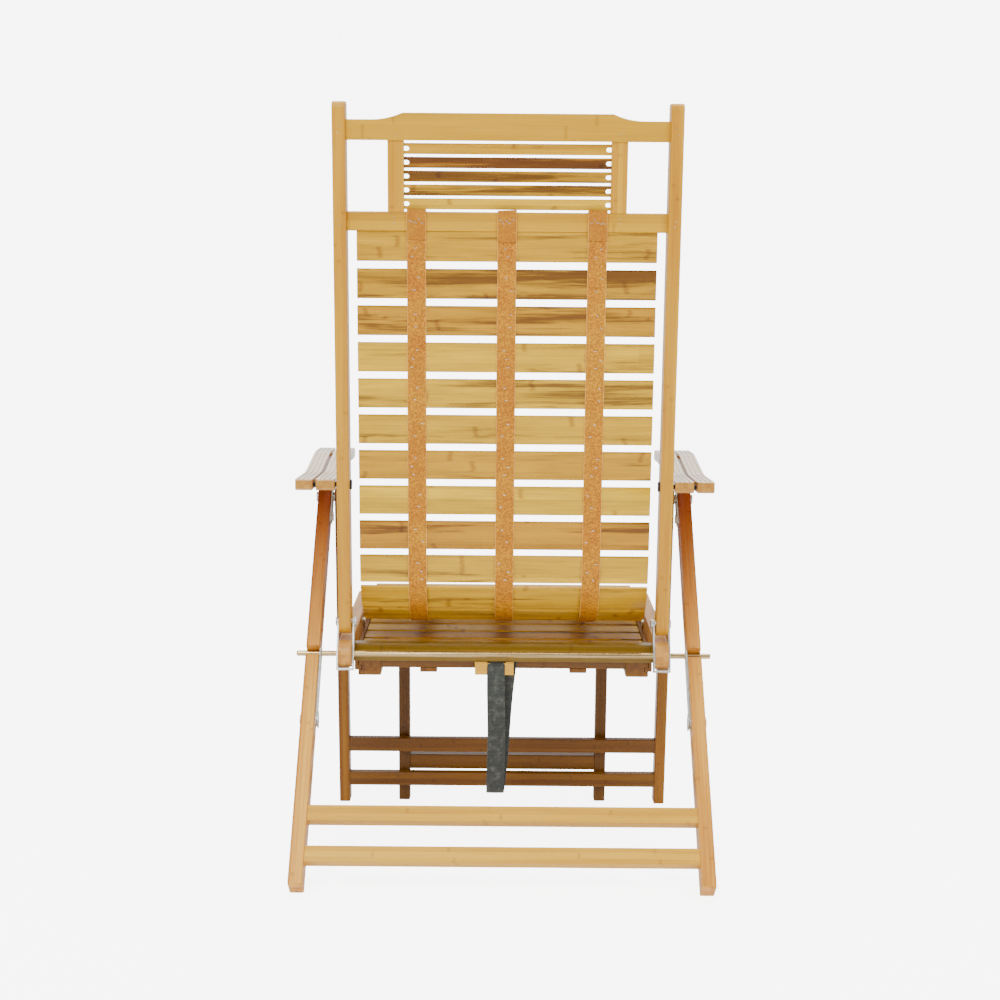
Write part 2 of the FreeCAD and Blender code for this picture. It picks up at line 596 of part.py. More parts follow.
back_lean = -size("back_lean")
stile_middle = size("stile_outer") - size("stile_thick") / 2
half_deep = "Sizes.stile_deep / 2"
for side, sign in SIDES:
    stile = board("stile_" + side, [
        ("-(%s)" % half_deep, "-(%s)" % half_deep),
        (half_deep, "-(%s)" % half_deep),
        (half_deep, "Sizes.stile_above"),
        ("-(%s)" % half_deep, "Sizes.stile_above")], "Sizes.stile_thick",
        [(lambda spot: spot.z < 0, "Sizes.stile_deep / 2.05"),
         (lambda spot: spot.z > 0, "Sizes.stile_deep / 4")])
    cross_hole(stile, "stile_foot_hole_" + side, "0", "0", BOLT_HOLE)
    cross_hole(stile, "stile_arm_hole_" + side, "0", "Sizes.arm_pivot_above", BOLT_HOLE)
    add_finished(stile, "back_stile_" + side, place(stile_bolt, back_lean, sign * stile_middle))

# Crest rail: raised in the middle, each shoulder a hollow curve with a crisp corner

crest = new_body("crest_board")
face = plane_sketch(crest, "XZ_Plane", "crest_face")
rectangle(face, "-" + STILE_INNER, STILE_INNER, "0", "Sizes.crest_mid_tall")
pad(crest, face, "Sizes.crest_thick", "crest_blank")
RISE = "(Sizes.crest_mid_tall - Sizes.crest_end_tall)"
RUN = "(Sizes.crest_flat_from - Sizes.crest_corner)"
HOLLOW = "((%s * %s + %s * %s) / (2 * %s))" % (RISE, RISE, RUN, RUN, RISE)
for side, sign in SIDES:
    mark = "" if sign > 0 else "-"
    hollow = plane_sketch(crest, "XZ_Plane", "crest_hollow_sketch_" + side)
    circle(hollow, mark + "Sizes.crest_flat_from", "Sizes.crest_end_tall + " + HOLLOW, HOLLOW)
    cut(crest, hollow, "crest_hollow_" + side)
    shoulder = plane_sketch(crest, "XZ_Plane", "crest_shoulder_sketch_" + side)
    rectangle(shoulder, mark + "Sizes.crest_flat_from", mark + "(Sizes.stile_outer)",
              "Sizes.crest_end_tall", "Sizes.crest_mid_tall + 1")
    cut(crest, shoulder, "crest_shoulder_" + side)
crest_deep = (size("stile_deep") / 2 - size("crest_inset") - size("crest_thick") / 2)
back_up = turned(ALONG_Z, back_lean)
back_rear = turned(ALONG_Y, back_lean)
add_finished(crest, "crest_rail",
             place(stile_bolt + back_up * size("crest_low") + back_rear * crest_deep, back_lean))

# Cross rail below the head panel, which the straps hang from

MAT_REAR = "(Sizes.stile_deep / 2 - Sizes.mat_inset - Sizes.strap_thick)"
cross = bar("cross_bar", STILE_INNER + " * 2", MAT_REAR + " - Sizes.cross_thick", MAT_REAR,
            "Sizes.cross_low", "Sizes.cross_low + Sizes.cross_tall")
add_finished(cross, "back_cross_rail", place(stile_bolt, back_lean))

# Head panel: two short uprights and five narrow slats between them

head_stiles = new_body("head_upright")
section = plane_sketch(head_stiles, "XZ_Plane", "head_upright_face")
rectangle(section, "Sizes.head_stile_inner", "Sizes.head_stile_inner + Sizes.head_stile_wide",
          "Sizes.cross_low + Sizes.cross_tall", "Sizes.crest_low")
upright = pad(head_stiles, section, "Sizes.head_stile_thick", "head_upright_blank")
head_mirror = head_stiles.newObject("PartDesign::Mirrored", "head_upright_mirror")
head_mirror.Originals = [upright]
yz_plane = [item for item in head_stiles.Origin.OriginFeatures if item.Role == "YZ_Plane"][0]
head_mirror.MirrorPlane = (yz_plane, [""])
head_stiles.Tip = head_mirror
doc.recompute()
mat_rear = size("stile_deep") / 2 - size("mat_inset") - size("strap_thick")
head_deep = mat_rear - size("head_stile_thick") / 2
add_finished(head_stiles, "head_stiles", place(stile_bolt + back_rear * head_deep, back_lean))

head_slats = new_body("head_slat_row")
face = plane_sketch(head_slats, "XZ_Plane", "head_slat_face")
HEAD_BASE = "(Sizes.cross_low + Sizes.cross_tall + Sizes.head_slat_gap)"
rectangle(face, "-Sizes.head_stile_inner", "Sizes.head_stile_inner",
          HEAD_BASE, HEAD_BASE + " + Sizes.head_slat_tall")
first = pad(head_slats, face, "Sizes.head_slat_thick", "head_slat_blank")
HEAD_MIDDLE = HEAD_BASE + " + Sizes.head_slat_tall / 2"
NOTCH_START = "(Sizes.head_stile_inner - Sizes.head_notch_deep + Sizes.head_notch_tall / 2)"
shaping = [first]
for side, sign in SIDES:
    mark = "" if sign > 0 else "-"
    eye = plane_sketch(head_slats, "XZ_Plane", "head_notch_eye_sketch_" + side)
    circle(eye, mark + NOTCH_START, HEAD_MIDDLE, "Sizes.head_notch_tall / 2")
    shaping.append(cut(head_slats, eye, "head_notch_eye_" + side))
    slot = plane_sketch(head_slats, "XZ_Plane", "head_notch_sketch_" + side)
    rectangle(slot, mark + NOTCH_START, mark + "Sizes.head_stile_inner",
              HEAD_MIDDLE + " - Sizes.head_notch_tall / 2",
              HEAD_MIDDLE + " + Sizes.head_notch_tall / 2")
    shaping.append(cut(head_slats, slot, "head_notch_" + side))
row = head_slats.newObject("PartDesign::LinearPattern", "head_slat_pattern")
row.Originals = shaping
z_axis = [item for item in head_slats.Origin.OriginFeatures if item.Role == "Z_Axis"][0]
row.Direction = (z_axis, [""])
row.setExpression("Occurrences", "Sizes.head_slat_count")
row.setExpression("Length", "(Sizes.head_slat_tall + Sizes.head_slat_gap)"
                            " * (Sizes.head_slat_count - 1)")
head_slats.Tip = row
doc.recompute()
add_finished(head_slats, "head_slats", place(stile_bolt + back_rear * head_deep, back_lean))

# The mat's line in side view: straight down the back, round a bend, forward on the seat.
# Distances run down the rear face of the straps, from the top edge of the cross rail.

mat_origin = stile_bolt + back_rear * (mat_rear + size("strap_thick"))
seat_up = turned(ALONG_Z, seat_lean)
seat_face = rod + seat_up * size("rear_rail_top")
cross_top = size("cross_low") + size("cross_tall")
bend_turn = 90 + size("back_lean") - size("seat_slope")
step = seat_face - mat_origin
corner_up = ((step.y * seat_forward.z - step.z * seat_forward.y)
             / (back_up.y * seat_forward.z - back_up.z * seat_forward.y))
corner = mat_origin + back_up * corner_up
bend_set_back = size("bend_radius") * math.tan(math.radians(bend_turn / 2))
bend_start = cross_top - (corner_up + bend_set_back)
bend_length = size("bend_radius") * math.radians(bend_turn)
bend_centre = corner + back_up * bend_set_back - back_rear * size("bend_radius")


def mat_frame(run):
    """Point on the rear face of the straps and the lean of the mat there."""
    if run <= bend_start:
        return mat_origin + back_up * (cross_top - run), back_lean
    angle = math.degrees(min(run - bend_start, bend_length) / size("bend_radius"))
    lean = back_lean - angle
    point = bend_centre + turned(ALONG_Y, lean) * size("bend_radius")
    if run > bend_start + bend_length:
        point = point + seat_forward * (run - bend_start - bend_length)
    return point, lean


slat_blank = new_body("slat_blank")
section = plane_sketch(slat_blank, "YZ_Plane", "slat_section")
rectangle(section, "-Sizes.slat_thick", "0", "-Sizes.slat_wide / 2", "Sizes.slat_wide / 2")
pad(slat_blank, section, "Sizes.slat_length", "slat_lamella")
fillet(slat_blank, lambda edge: runs_along(edge, ALONG_X), "Sizes.slat_round", "slat_eased")


def slat_row(label, numbers):
    """A group of slats, counted from the cross rail down, laid on the straps."""
    shapes = []
    first_middle = (size("cross_tall") + size("slats_below_cross") + size("slat_wide") / 2)
    for number in numbers:
        middle = first_middle + number * size("slat_pitch")
        ends = [mat_frame(middle + half * size("slat_wide") / 2)[0] for half in (-1, 1)]
        chord = ends[0] - ends[1]
        lean = -math.degrees(math.atan2(chord.y, chord.z))
        inward = turned(V(0, -1, 0), lean) * (size("strap_thick") * 1.02)
        shape = slat_blank.Shape.copy()
        spot = (ends[0] + ends[1]) / 2 + inward
        shape.Placement = FreeCAD.Placement(spot, FreeCAD.Rotation(V(1, 0, 0), lean))
        shapes.append(shape)
    group = doc.addObject("Part::Feature", label + "_group")
    group.Shape = Part.makeCompound(shapes)
    add_finished(group, label, side_place(0, 0))


BACK_SLATS = 10
BEND_SLATS = 3
seat_slats = int(size("seat_slat_count"))
slat_row("back_slats", range(BACK_SLATS))
slat_row("bend_slats", range(BACK_SLATS, BACK_SLATS + BEND_SLATS))
slat_row("seat_slats", range(BACK_SLATS + BEND_SLATS, BACK_SLATS + BEND_SLATS + seat_slats))

# Straps: leather strips behind the back slats and under the seat slats

first_edge = size("cross_tall") + size("slats_below_cross")
half_slot = (size("slat_pitch") - size("slat_wide")) / 2
back_end = first_edge + BACK_SLATS * size("slat_pitch") - half_slot
seat_begin = bend_start + bend_length
seat_strap_end = seat_begin + (size("seat_front") - size("seat_front_rail_inset")
                               - (mat_frame(seat_begin)[0] - seat_face).Length)


def strap_edge(run, inset):
    """A point on the strap's rear face, or on its inner face when inset is its thickness."""
    point, lean = mat_frame(run)
    return point + turned(V(0, -inset, 0), lean)


def strap_run(start, end):
    """Edges of a strap between two distances along the mat, its bend as true arcs."""
    inset = size("strap_thick")
    stops = sorted({start, end, min(max(bend_start, start), end),
                    min(max(bend_start + bend_length, start), end)})
    edges = []
    for side_inset in (0, inset):
        for low, high in zip(stops, stops[1:]):
            a, b = strap_edge(low, side_inset), strap_edge(high, side_inset)
            if low >= bend_start and high <= bend_start + bend_length:
                middle = strap_edge((low + high) / 2, side_inset)
                edges.append(Part.Arc(a, middle, b).toShape())
            else:
                edges.append(Part.LineSegment(a, b).toShape())
    for run in (start, end):
        edges.append(Part.LineSegment(strap_edge(run, 0), strap_edge(run, inset)).toShape())
    return Part.Face(Part.Wire(Part.__sortEdges__(edges)))


def strap_group(label, faces):
    """Three straps side by side, cut from side-view faces."""
    wide = size("strap_wide")
    strips = [face.extrude(V(wide, 0, 0)) for face in faces]
    one = strips[0].fuse(strips[1:]).removeSplitter() if len(strips) > 1 else strips[0]
    shapes = []
    for count in (-1, 0, 1):
        copy = one.copy()
        copy.translate(V(count * size("strap_spacing") - wide / 2, 0, 0))
        shapes.append(copy)
    group = doc.addObject("Part::Feature", label + "_group")
    group.Shape = Part.makeCompound(shapes)
    add_finished(group, label, side_place(0, 0))


def side_quad(origin, across, up, low_across, high_across, low_up, high_up):
    """A rectangle in side view, spanned by two directions."""
    corners = [origin + across * a + up * b for a, b in (
        (low_across, low_up), (high_across, low_up), (high_across, high_up),
        (low_across, high_up), (low_across, low_up))]
    return Part.Face(Part.makePolygon(corners))


thick = size("strap_thick")
rail_front = -thick - size("cross_thick")
over_rail = side_quad(strap_edge(0, 0), back_rear, back_up, rail_front - thick, 0, 0, thick)
down_front = side_quad(strap_edge(0, 0), back_rear, back_up, rail_front - thick, rail_front,
                       -size("cross_tall"), 0)
strap_group("back_straps", [strap_run(0, back_end), over_rail, down_front])
strap_group("bend_straps", [strap_run(back_end, seat_begin)])
wrap_origin = strap_edge(seat_strap_end, 0)
wrap = side_quad(wrap_origin, seat_forward, seat_up, 0, thick,
                 -size("seat_front_rail_tall") / 2, thick)
strap_group("seat_straps", [strap_run(seat_begin, seat_strap_end), wrap])

# Armrests: two planks side by side, grooved on top, with a steel rack underneath

arm_pivot = stile_bolt + back_up * size("arm_pivot_above")


def pin_spot(lean_back):
    """The armrest pin as the armrest sees it when the back leans further back."""
    pivot = stile_bolt + turned(arm_pivot - stile_bolt, -lean_back)
    return in_frame(pin_centre, pivot, -lean_back * (1 - size("arm_follow")))


def rack_corners():
    """Side outline of the rack: a seat above the pin for each recline, low tips between."""
    seats = int(size("rack_seats"))
    reclines = [size("recline") * count / (seats - 1) for count in range(seats)]
    roof = size("pin_radius") + size("layer_gap")
    half = size("rack_seat_half")
    first, last = pin_spot(0), pin_spot(size("recline"))
    ramp = size("arm_ramp_end") - size("arm_ramp_start")
    slope = size("arm_rise") / ramp
    tangent = size("arm_bend") * math.tan(math.atan(slope) / 2)
    level = size("arm_rise") - size("arm_drop")
    rear, front = first.y + size("rack_end"), last.y - size("rack_end")
    ramp_side = -size("arm_ramp_end") + tangent * math.cos(math.atan(slope))
    corners = [(-size("arm_ramp_end") - tangent, level),
               (ramp_side, level - (ramp_side + size("arm_ramp_end")) * slope),
               (rear, level - (rear + size("arm_ramp_end")) * slope),
               (rear, first.z + roof - size("rack_hook")),
               (first.y + half + size("rack_notch"), first.z + roof - size("rack_hook"))]
    for count, recline in enumerate(reclines):
        seat = pin_spot(recline)
        deeper = size("rack_notch") if 0 < count < seats - 1 else 0
        corners.append((seat.y + half, seat.z + roof + deeper))
        corners.append((seat.y - half, seat.z + roof + deeper))
        if count < seats - 1:
            tip = pin_spot((recline + reclines[count + 1]) / 2)
            corners.append((tip.y, tip.z + roof))
    return corners + [(last.y - half - size("rack_notch"), last.z + roof - size("rack_hook")),
                      (front, last.z + roof - size("rack_hook")), (front, level)]


def arm_edge(above):
    """One long edge of an armrest from front to rear: level, a ramp down, level again."""
    low = "(%s - Sizes.arm_drop)" % above
    return [("-Sizes.arm_front", low + " + Sizes.arm_rise"),
            ("-Sizes.arm_ramp_end", low + " + Sizes.arm_rise"),
            ("-Sizes.arm_ramp_start", low), ("Sizes.arm_rear", low)]


def is_outer_bend(spot):
    """True for the longer side of each bend: top of the crest, underside of the hollow."""
    middle = size("arm_tall") / 2 - size("arm_drop")
    crest = spot.y < -(size("arm_ramp_start") + size("arm_ramp_end")) / 2
    return spot.z > middle + size("arm_rise") if crest else spot.z < middle


ARM_OUTER_FROM = "(Sizes.arm_inner_from + Sizes.arm_inner_wide + Sizes.arm_gap)"
arm_outer_from = size("arm_inner_from") + size("arm_inner_wide") + size("arm_gap")
for side, sign in SIDES:
    for part_name, start, wide in (
            ("inner", size("arm_inner_from"), "Sizes.arm_inner_wide"),
            ("outer", arm_outer_from, "Sizes.arm_outer_wide")):
        label = "armrest_%s_board_%s" % (part_name, side)
        plank = board(label, [
            (across, up) for across, up in arm_edge("0")]
            + [(across, up) for across, up in reversed(arm_edge("Sizes.arm_tall"))], wide, [
            (lambda spot: spot.y < -1 and spot.y > 1 - size("arm_front") and is_outer_bend(spot),
             "Sizes.arm_bend + Sizes.arm_tall"),
            (lambda spot: spot.y < -1 and spot.y > 1 - size("arm_front"), "Sizes.arm_bend"),
            (lambda spot: spot.y > 1 and abs(spot.z) < size("arm_tall"),
             "Sizes.edge_round * 2"),
            (lambda spot: spot.y < 1 - size("arm_front"), "Sizes.arm_front_round")])
        groove = plane_sketch(plank, "YZ_Plane", label + "_groove_sketch")
        first = (size("arm_grooves") - 1) / 2 * size("arm_groove_pitch")
        groove.AttachmentOffset = FreeCAD.Placement(V(0, 0, -first), FreeCAD.Rotation())
        outline(groove, arm_edge("Sizes.arm_tall - Sizes.arm_groove_deep")
                + list(reversed(arm_edge("Sizes.arm_tall + Sizes.arm_groove_deep"))))
        before = plank.Shape.Volume
        scratch = plank.newObject("PartDesign::Pocket", label + "_groove")
        scratch.Profile = groove
        scratch.SideType = "Symmetric"
        scratch.setExpression("Length", "Sizes.arm_groove_wide")
        rows = plank.newObject("PartDesign::LinearPattern", label + "_grooves")
        rows.Originals = [scratch]
        x_axis = [item for item in plank.Origin.OriginFeatures if item.Role == "X_Axis"][0]
        rows.Direction = (x_axis, [""])
        rows.setExpression("Occurrences", "Sizes.arm_grooves")
        rows.setExpression("Length", "Sizes.arm_groove_pitch * (Sizes.arm_grooves - 1)")
        plank.Tip = rows
        doc.recompute()
        if not plank.Shape.Volume < before:
            raise RuntimeError(label + " has no grooves")
        cross_hole(plank, label + "_pivot_hole", "0", "0", BOLT_HOLE)
        middle = start + size("arm_%s_wide" % part_name) / 2
        add_finished(plank, label, place(arm_pivot, 0, sign * middle))

    dowels = [pin("arm_dowel_%s_%d" % (side, count), "Sizes.arm_inner_from + Sizes.arm_inner_wide",
                  ARM_OUTER_FROM, "Sizes.pin_radius") for count in (0, 1)]
    heights = ("Sizes.arm_tall / 2 - Sizes.arm_drop",
               "Sizes.arm_tall / 2 - Sizes.arm_drop + Sizes.arm_rise")
    spots = ("-Sizes.arm_ramp_start / 2", "-(Sizes.arm_ramp_end + Sizes.arm_front) / 2")
    for dowel, spot, height in zip(dowels, spots, heights):
        dowel.setExpression("Placement.Base.y", spot)
        dowel.setExpression("Placement.Base.z", height)
    if sign < 0:
        for dowel in dowels:
            dowel.setExpression("Placement.Base.x", "-" + ARM_OUTER_FROM)
    both = doc.addObject("Part::Compound", "arm_dowels_" + side)
    both.Links = dowels
    doc.recompute()
    add_finished(both, "armrest_dowels_" + side, place(arm_pivot))

    rack = new_body("rack_strip_" + side)
    strip = plane_sketch(rack, "YZ_Plane", "rack_outline_" + side)
    outline(strip, [("%.6f" % across, "%.6f" % up) for across, up in rack_corners()])
    pad(rack, strip, "Sizes.rack_thick", "rack_sheet_" + side)
    middle = sign * (size("rack_from") + size("rack_thick") / 2)
    add_finished(rack, "armrest_rack_" + side, place(arm_pivot, 0, middle))

    pivot = [pin("arm_pivot_shank_" + side, STILE_INNER + " - Sizes.nut_thick",
                 ARM_OUTER_FROM + " + Sizes.arm_outer_wide / 2", "Sizes.bolt_radius"),
             pin("arm_pivot_nut_" + side, STILE_INNER + " - Sizes.nut_thick",
                 STILE_INNER, "Sizes.nut_radius")]
    fused = doc.addObject("Part::MultiFuse", "arm_pivot_bolt_" + side)
    fused.Shapes = pivot
    doc.recompute()
    if sign < 0:
        flipped = doc.addObject("Part::Mirroring", "arm_pivot_flip_" + side)
        flipped.Source = fused
        flipped.Normal = ALONG_X
        fused = flipped
        doc.recompute()
    add_finished(fused, "armrest_pivot_" + side, place(arm_pivot))

# Footrest: a frame of slats that slides forward on tongues fixed inside the seat rails

FOOT_TOP = "-Sizes.foot_side_drop"
FOOT_LOW = "(-Sizes.foot_side_drop - Sizes.foot_side_tall)"
GROOVE_MIDDLE = "(-Sizes.foot_side_drop - Sizes.groove_drop)"
side_middle = size("foot_side_outer") - size("foot_side_wide") / 2
for side, sign in SIDES:
    rail = board("foot_side_" + side, [
        ("-Sizes.foot_front", FOOT_LOW), ("-Sizes.foot_rear", FOOT_LOW),
        ("-Sizes.foot_rear", FOOT_TOP), ("-Sizes.foot_front", FOOT_TOP)],
        "Sizes.foot_side_wide")
    groove = plane_sketch(rail, "XZ_Plane", "foot_groove_sketch_" + side)
    half = "Sizes.foot_side_wide / 2"
    mark = "" if sign > 0 else "-"
    rectangle(groove, "%s(%s - Sizes.tongue_deep - Sizes.tongue_gap)" % (mark, half),
              "%s(%s + 1)" % (mark, half),
              GROOVE_MIDDLE + " - Sizes.tongue_tall / 2 - Sizes.tongue_gap",
              GROOVE_MIDDLE + " + Sizes.tongue_tall / 2 + Sizes.tongue_gap")
    cut(rail, groove, "foot_groove_" + side)
    add_finished(rail, "footrest_side_rail_" + side, place(rod, seat_lean, sign * side_middle))

FOOT_SIDE_INNER = "(Sizes.foot_side_outer - Sizes.foot_side_wide)"
rear = bar("foot_rear_bar", FOOT_SIDE_INNER + " * 2",
           "-Sizes.foot_rear - Sizes.foot_rail_deep", "-Sizes.foot_rear",
           FOOT_TOP + " + Sizes.foot_rail_raise - Sizes.foot_rail_tall",
           FOOT_TOP + " + Sizes.foot_rail_raise")
add_finished(rear, "footrest_rear_rail", place(rod, seat_lean))
front = bar("foot_front_bar", FOOT_SIDE_INNER + " * 2",
            "-Sizes.foot_front", "-Sizes.foot_front + Sizes.foot_rail_deep", FOOT_LOW, FOOT_TOP)
add_finished(front, "footrest_front_rail", place(rod, seat_lean))

batten_top = FOOT_TOP + " + Sizes.foot_rail_raise - Sizes.foot_rail_tall"
battens = []
for side, sign in SIDES:
    batten = doc.addObject("Part::Box", "batten_" + side)
    batten.setExpression("Length", "Sizes.batten_wide")
    batten.setExpression("Width", "Sizes.foot_front - Sizes.foot_rail_deep - Sizes.foot_rear")
    batten.setExpression("Height", "Sizes.batten_tall")
    start = "Sizes.batten_inner" if sign > 0 else "-Sizes.batten_inner - Sizes.batten_wide"
    batten.setExpression("Placement.Base.x", start)
    batten.setExpression("Placement.Base.y", "-Sizes.foot_front + Sizes.foot_rail_deep")
    batten.setExpression("Placement.Base.z", batten_top + " - Sizes.batten_tall")
    battens.append(batten)
both = doc.addObject("Part::Compound", "batten_pair")
both.Links = battens
doc.recompute()
add_finished(both, "footrest_battens", place(rod, seat_lean))

foot_slats = new_body("foot_slat_row")
section = plane_sketch(foot_slats, "YZ_Plane", "foot_slat_section")
rectangle(section, "-Sizes.foot_slat_start - Sizes.slat_wide", "-Sizes.foot_slat_start",
          FOOT_TOP, FOOT_TOP + " + Sizes.slat_thick")
first = pad(foot_slats, section, "Sizes.foot_slat_length", "foot_slat_blank")
row = foot_slats.newObject("PartDesign::LinearPattern", "foot_slat_pattern")
row.Originals = [first]
y_axis = [item for item in foot_slats.Origin.OriginFeatures if item.Role == "Y_Axis"][0]
row.Direction = (y_axis, [""])
row.Reversed = True
row.setExpression("Occurrences", "Sizes.foot_slat_count")
row.setExpression("Length", "Sizes.slat_pitch * 0.98 * (Sizes.foot_slat_count - 1)")
foot_slats.Tip = row
doc.recompute()
add_finished(foot_slats, "footrest_slats", place(rod, seat_lean))

# Runners: strips on the inner faces of the seat rails with a tongue for the footrest groove

runner = new_body("runner_strip")
section = plane_sketch(runner, "XZ_Plane", "runner_section")
TONGUE_LOW = GROOVE_MIDDLE + " - Sizes.tongue_tall / 2"
TONGUE_TOP = GROOVE_MIDDLE + " + Sizes.tongue_tall / 2"
RUNNER_FACE = "(%s - Sizes.runner_thick)" % SEAT_INNER
outline(section, [
    (RUNNER_FACE + " - Sizes.tongue_deep", TONGUE_LOW), (SEAT_INNER, TONGUE_LOW),
    (SEAT_INNER, "-Sizes.seat_rail_tall / 4"), (RUNNER_FACE, "-Sizes.seat_rail_tall / 4"),
    (RUNNER_FACE, TONGUE_TOP), (RUNNER_FACE + " - Sizes.tongue_deep", TONGUE_TOP)])
strip = pad(runner, section, "Sizes.seat_front - Sizes.foot_rear", "runner_length")
runner_mirror = runner.newObject("PartDesign::Mirrored", "runner_mirror")
runner_mirror.Originals = [strip]
yz_plane = [item for item in runner.Origin.OriginFeatures if item.Role == "YZ_Plane"][0]
runner_mirror.MirrorPlane = (yz_plane, [""])
runner.Tip = runner_mirror
doc.recompute()
runner_middle = (size("seat_front") + size("foot_rear")) / 2
add_finished(runner, "footrest_runners", place(rod + seat_forward * runner_middle, seat_lean))

# Footrest legs: a narrow frame hinged to the side rails, standing in front of the front rails

foot_pivot = V(0, -size("foot_pivot_forward"), size("foot_pivot_height"))
foot_lean = -size("foot_leg_lean")
foot_length = size("foot_pivot_height") / math.cos(math.radians(size("foot_leg_lean")))
derived.set("A20", "foot_leg_length")
derived.set("B20", repr(foot_length))
derived.setAlias("B20", "foot_leg_length")
derived.set("A21", "foot_rail_down")
derived.set("B21", repr((size("foot_pivot_height") - size("foot_leg_rail_top"))
                        / math.cos(math.radians(size("foot_leg_lean")))))
derived.setAlias("B21", "foot_rail_down")
doc.recompute()
half_leg = "Sizes.foot_leg_wide / 2"
SLANT = "%s * tan(Sizes.foot_leg_lean * 1 deg)" % half_leg
for side, sign in SIDES:
    leg = board("foot_leg_" + side, [
        ("-(%s)" % half_leg, "-Derived.foot_leg_length - " + SLANT),
        (half_leg, "-Derived.foot_leg_length + " + SLANT),
        (half_leg, half_leg), ("-(%s)" % half_leg, half_leg)], "Sizes.foot_leg_thick",
        [(lambda spot: spot.z > 0, "Sizes.foot_leg_wide / 2.05")])
    cross_hole(leg, "foot_leg_hole_" + side, "0", "0", BOLT_HOLE)
    middle = sign * (size("foot_leg_outer") - size("foot_leg_thick") / 2)
    add_finished(leg, "footrest_leg_" + side, place(foot_pivot, foot_lean, middle))
half_deep = "Sizes.foot_leg_rail_deep / 2"
leg_rail = bar("foot_leg_bar", "(Sizes.foot_leg_outer - Sizes.foot_leg_thick) * 2",
               "-(%s)" % half_deep, half_deep,
               "-Derived.foot_rail_down - Sizes.foot_leg_rail_tall", "-Derived.foot_rail_down")
add_finished(leg_rail, "footrest_leg_rail", place(foot_pivot, foot_lean))

foot_bolts = pair("foot_bolt", [
    pin("foot_bolt_shank", "Sizes.foot_leg_outer - Sizes.foot_leg_thick - Sizes.layer_gap * 2",
        FOOT_SIDE_INNER, "Sizes.bolt_radius"),
    pin("foot_bolt_collar", "Sizes.foot_leg_outer + Sizes.layer_gap", FOOT_SIDE_INNER,
        "Sizes.nut_radius"),
    pin("foot_bolt_head", "Sizes.foot_leg_outer - Sizes.foot_leg_thick - Sizes.layer_gap"
        " - Sizes.nut_thick", "Sizes.foot_leg_outer - Sizes.foot_leg_thick - Sizes.layer_gap",
        "Sizes.nut_radius")])
add_finished(foot_bolts, "footrest_leg_bolts", place(foot_pivot))

# Webbing pull: a block under the rear rail and a hanging loop of webbing round it

block = new_body("webbing_block_body")
section = plane_sketch(block, "XZ_Plane", "webbing_block_face")
BLOCK_TOP = "(Sizes.rear_rail_top - Sizes.rear_rail_tall)"
SLOT_LOW = BLOCK_TOP + " - Sizes.webbing_thick - Sizes.layer_gap"
outline(section, [
    ("Sizes.block_from", BLOCK_TOP + " - Sizes.block_tall"),
    ("Sizes.block_from + Sizes.block_wide", BLOCK_TOP + " - Sizes.block_tall"),
    ("Sizes.block_from + Sizes.block_wide", BLOCK_TOP),
    ("Sizes.webbing_from + Sizes.webbing_wide + Sizes.layer_gap", BLOCK_TOP),
    ("Sizes.webbing_from + Sizes.webbing_wide + Sizes.layer_gap", SLOT_LOW),
    ("Sizes.webbing_from - Sizes.layer_gap", SLOT_LOW),
    ("Sizes.webbing_from - Sizes.layer_gap", BLOCK_TOP),
    ("Sizes.block_from", BLOCK_TOP)])
pad(block, section, "Sizes.block_deep", "webbing_block_blank")
block_middle = size("rear_rail_start") + size("rear_rail_deep") / 2
add_finished(block, "webbing_block", place(rod + seat_forward * block_middle, seat_lean))


def webbing_shape():
    """A strip that passes over the block, down both its sides and round a loose bend."""
    block_top = size("rear_rail_top") - size("rear_rail_tall")
    edge = V(size("webbing_from"), 0, 0)
    top_middle = rod + seat_forward * block_middle + seat_up * block_top + edge
    gap = size("layer_gap")
    thick = size("webbing_thick")
    bend = size("webbing_bend")
    low = edge + V(0, top_middle.y, size("webbing_bottom") + bend)
    faces = []
    for inset in (0, thick):
        half = size("block_deep") / 2 + gap + thick - inset
        rise = -inset - gap / 2
        radius = bend - inset
        corners = [top_middle + seat_up * rise - seat_forward * half,
                   top_middle + seat_up * rise + seat_forward * half]
        knees = [top_middle - seat_up * (size("block_tall") + gap) - seat_forward * half,
                 top_middle - seat_up * (size("block_tall") + gap) + seat_forward * half]
        ends = [low + V(0, radius, 0), low - V(0, radius, 0)]
        edges = [Part.makeLine(corners[0], corners[1]), Part.makeLine(corners[1], knees[1]),
                 Part.makeLine(knees[1], ends[1]),
                 Part.Arc(ends[1], low - V(0, 0, radius), ends[0]).toShape(),
                 Part.makeLine(ends[0], knees[0]), Part.makeLine(knees[0], corners[0])]
        faces.append(Part.Face(Part.Wire(edges)))
    return faces[0].cut(faces[1]).Faces[0].extrude(V(size("webbing_wide"), 0, 0))


webbing = doc.addObject("Part::Feature", "webbing_strip")
webbing.Shape = webbing_shape()
add_finished(webbing, "webbing_loop", side_place(0, 0))

# Every piece is checked before anything is written

doc.recompute()
for item in doc.Objects:
    if "Invalid" in item.State or "Error" in item.State:
        raise RuntimeError("%s failed: %s" % (item.Name, item.State))
os.makedirs("parts", exist_ok=True)
for item in finished:
    if item.Shape.isNull() or not item.Shape.isValid():
        raise RuntimeError(item.Label + " has no valid shape")
for item in finished:
    item.Shape.exportStep("parts/%s.step" % item.Label)
print("%d pieces written" % len(finished))
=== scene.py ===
import bmesh
import bpy
import math
import random
from mathutils import Matrix, Vector, noise


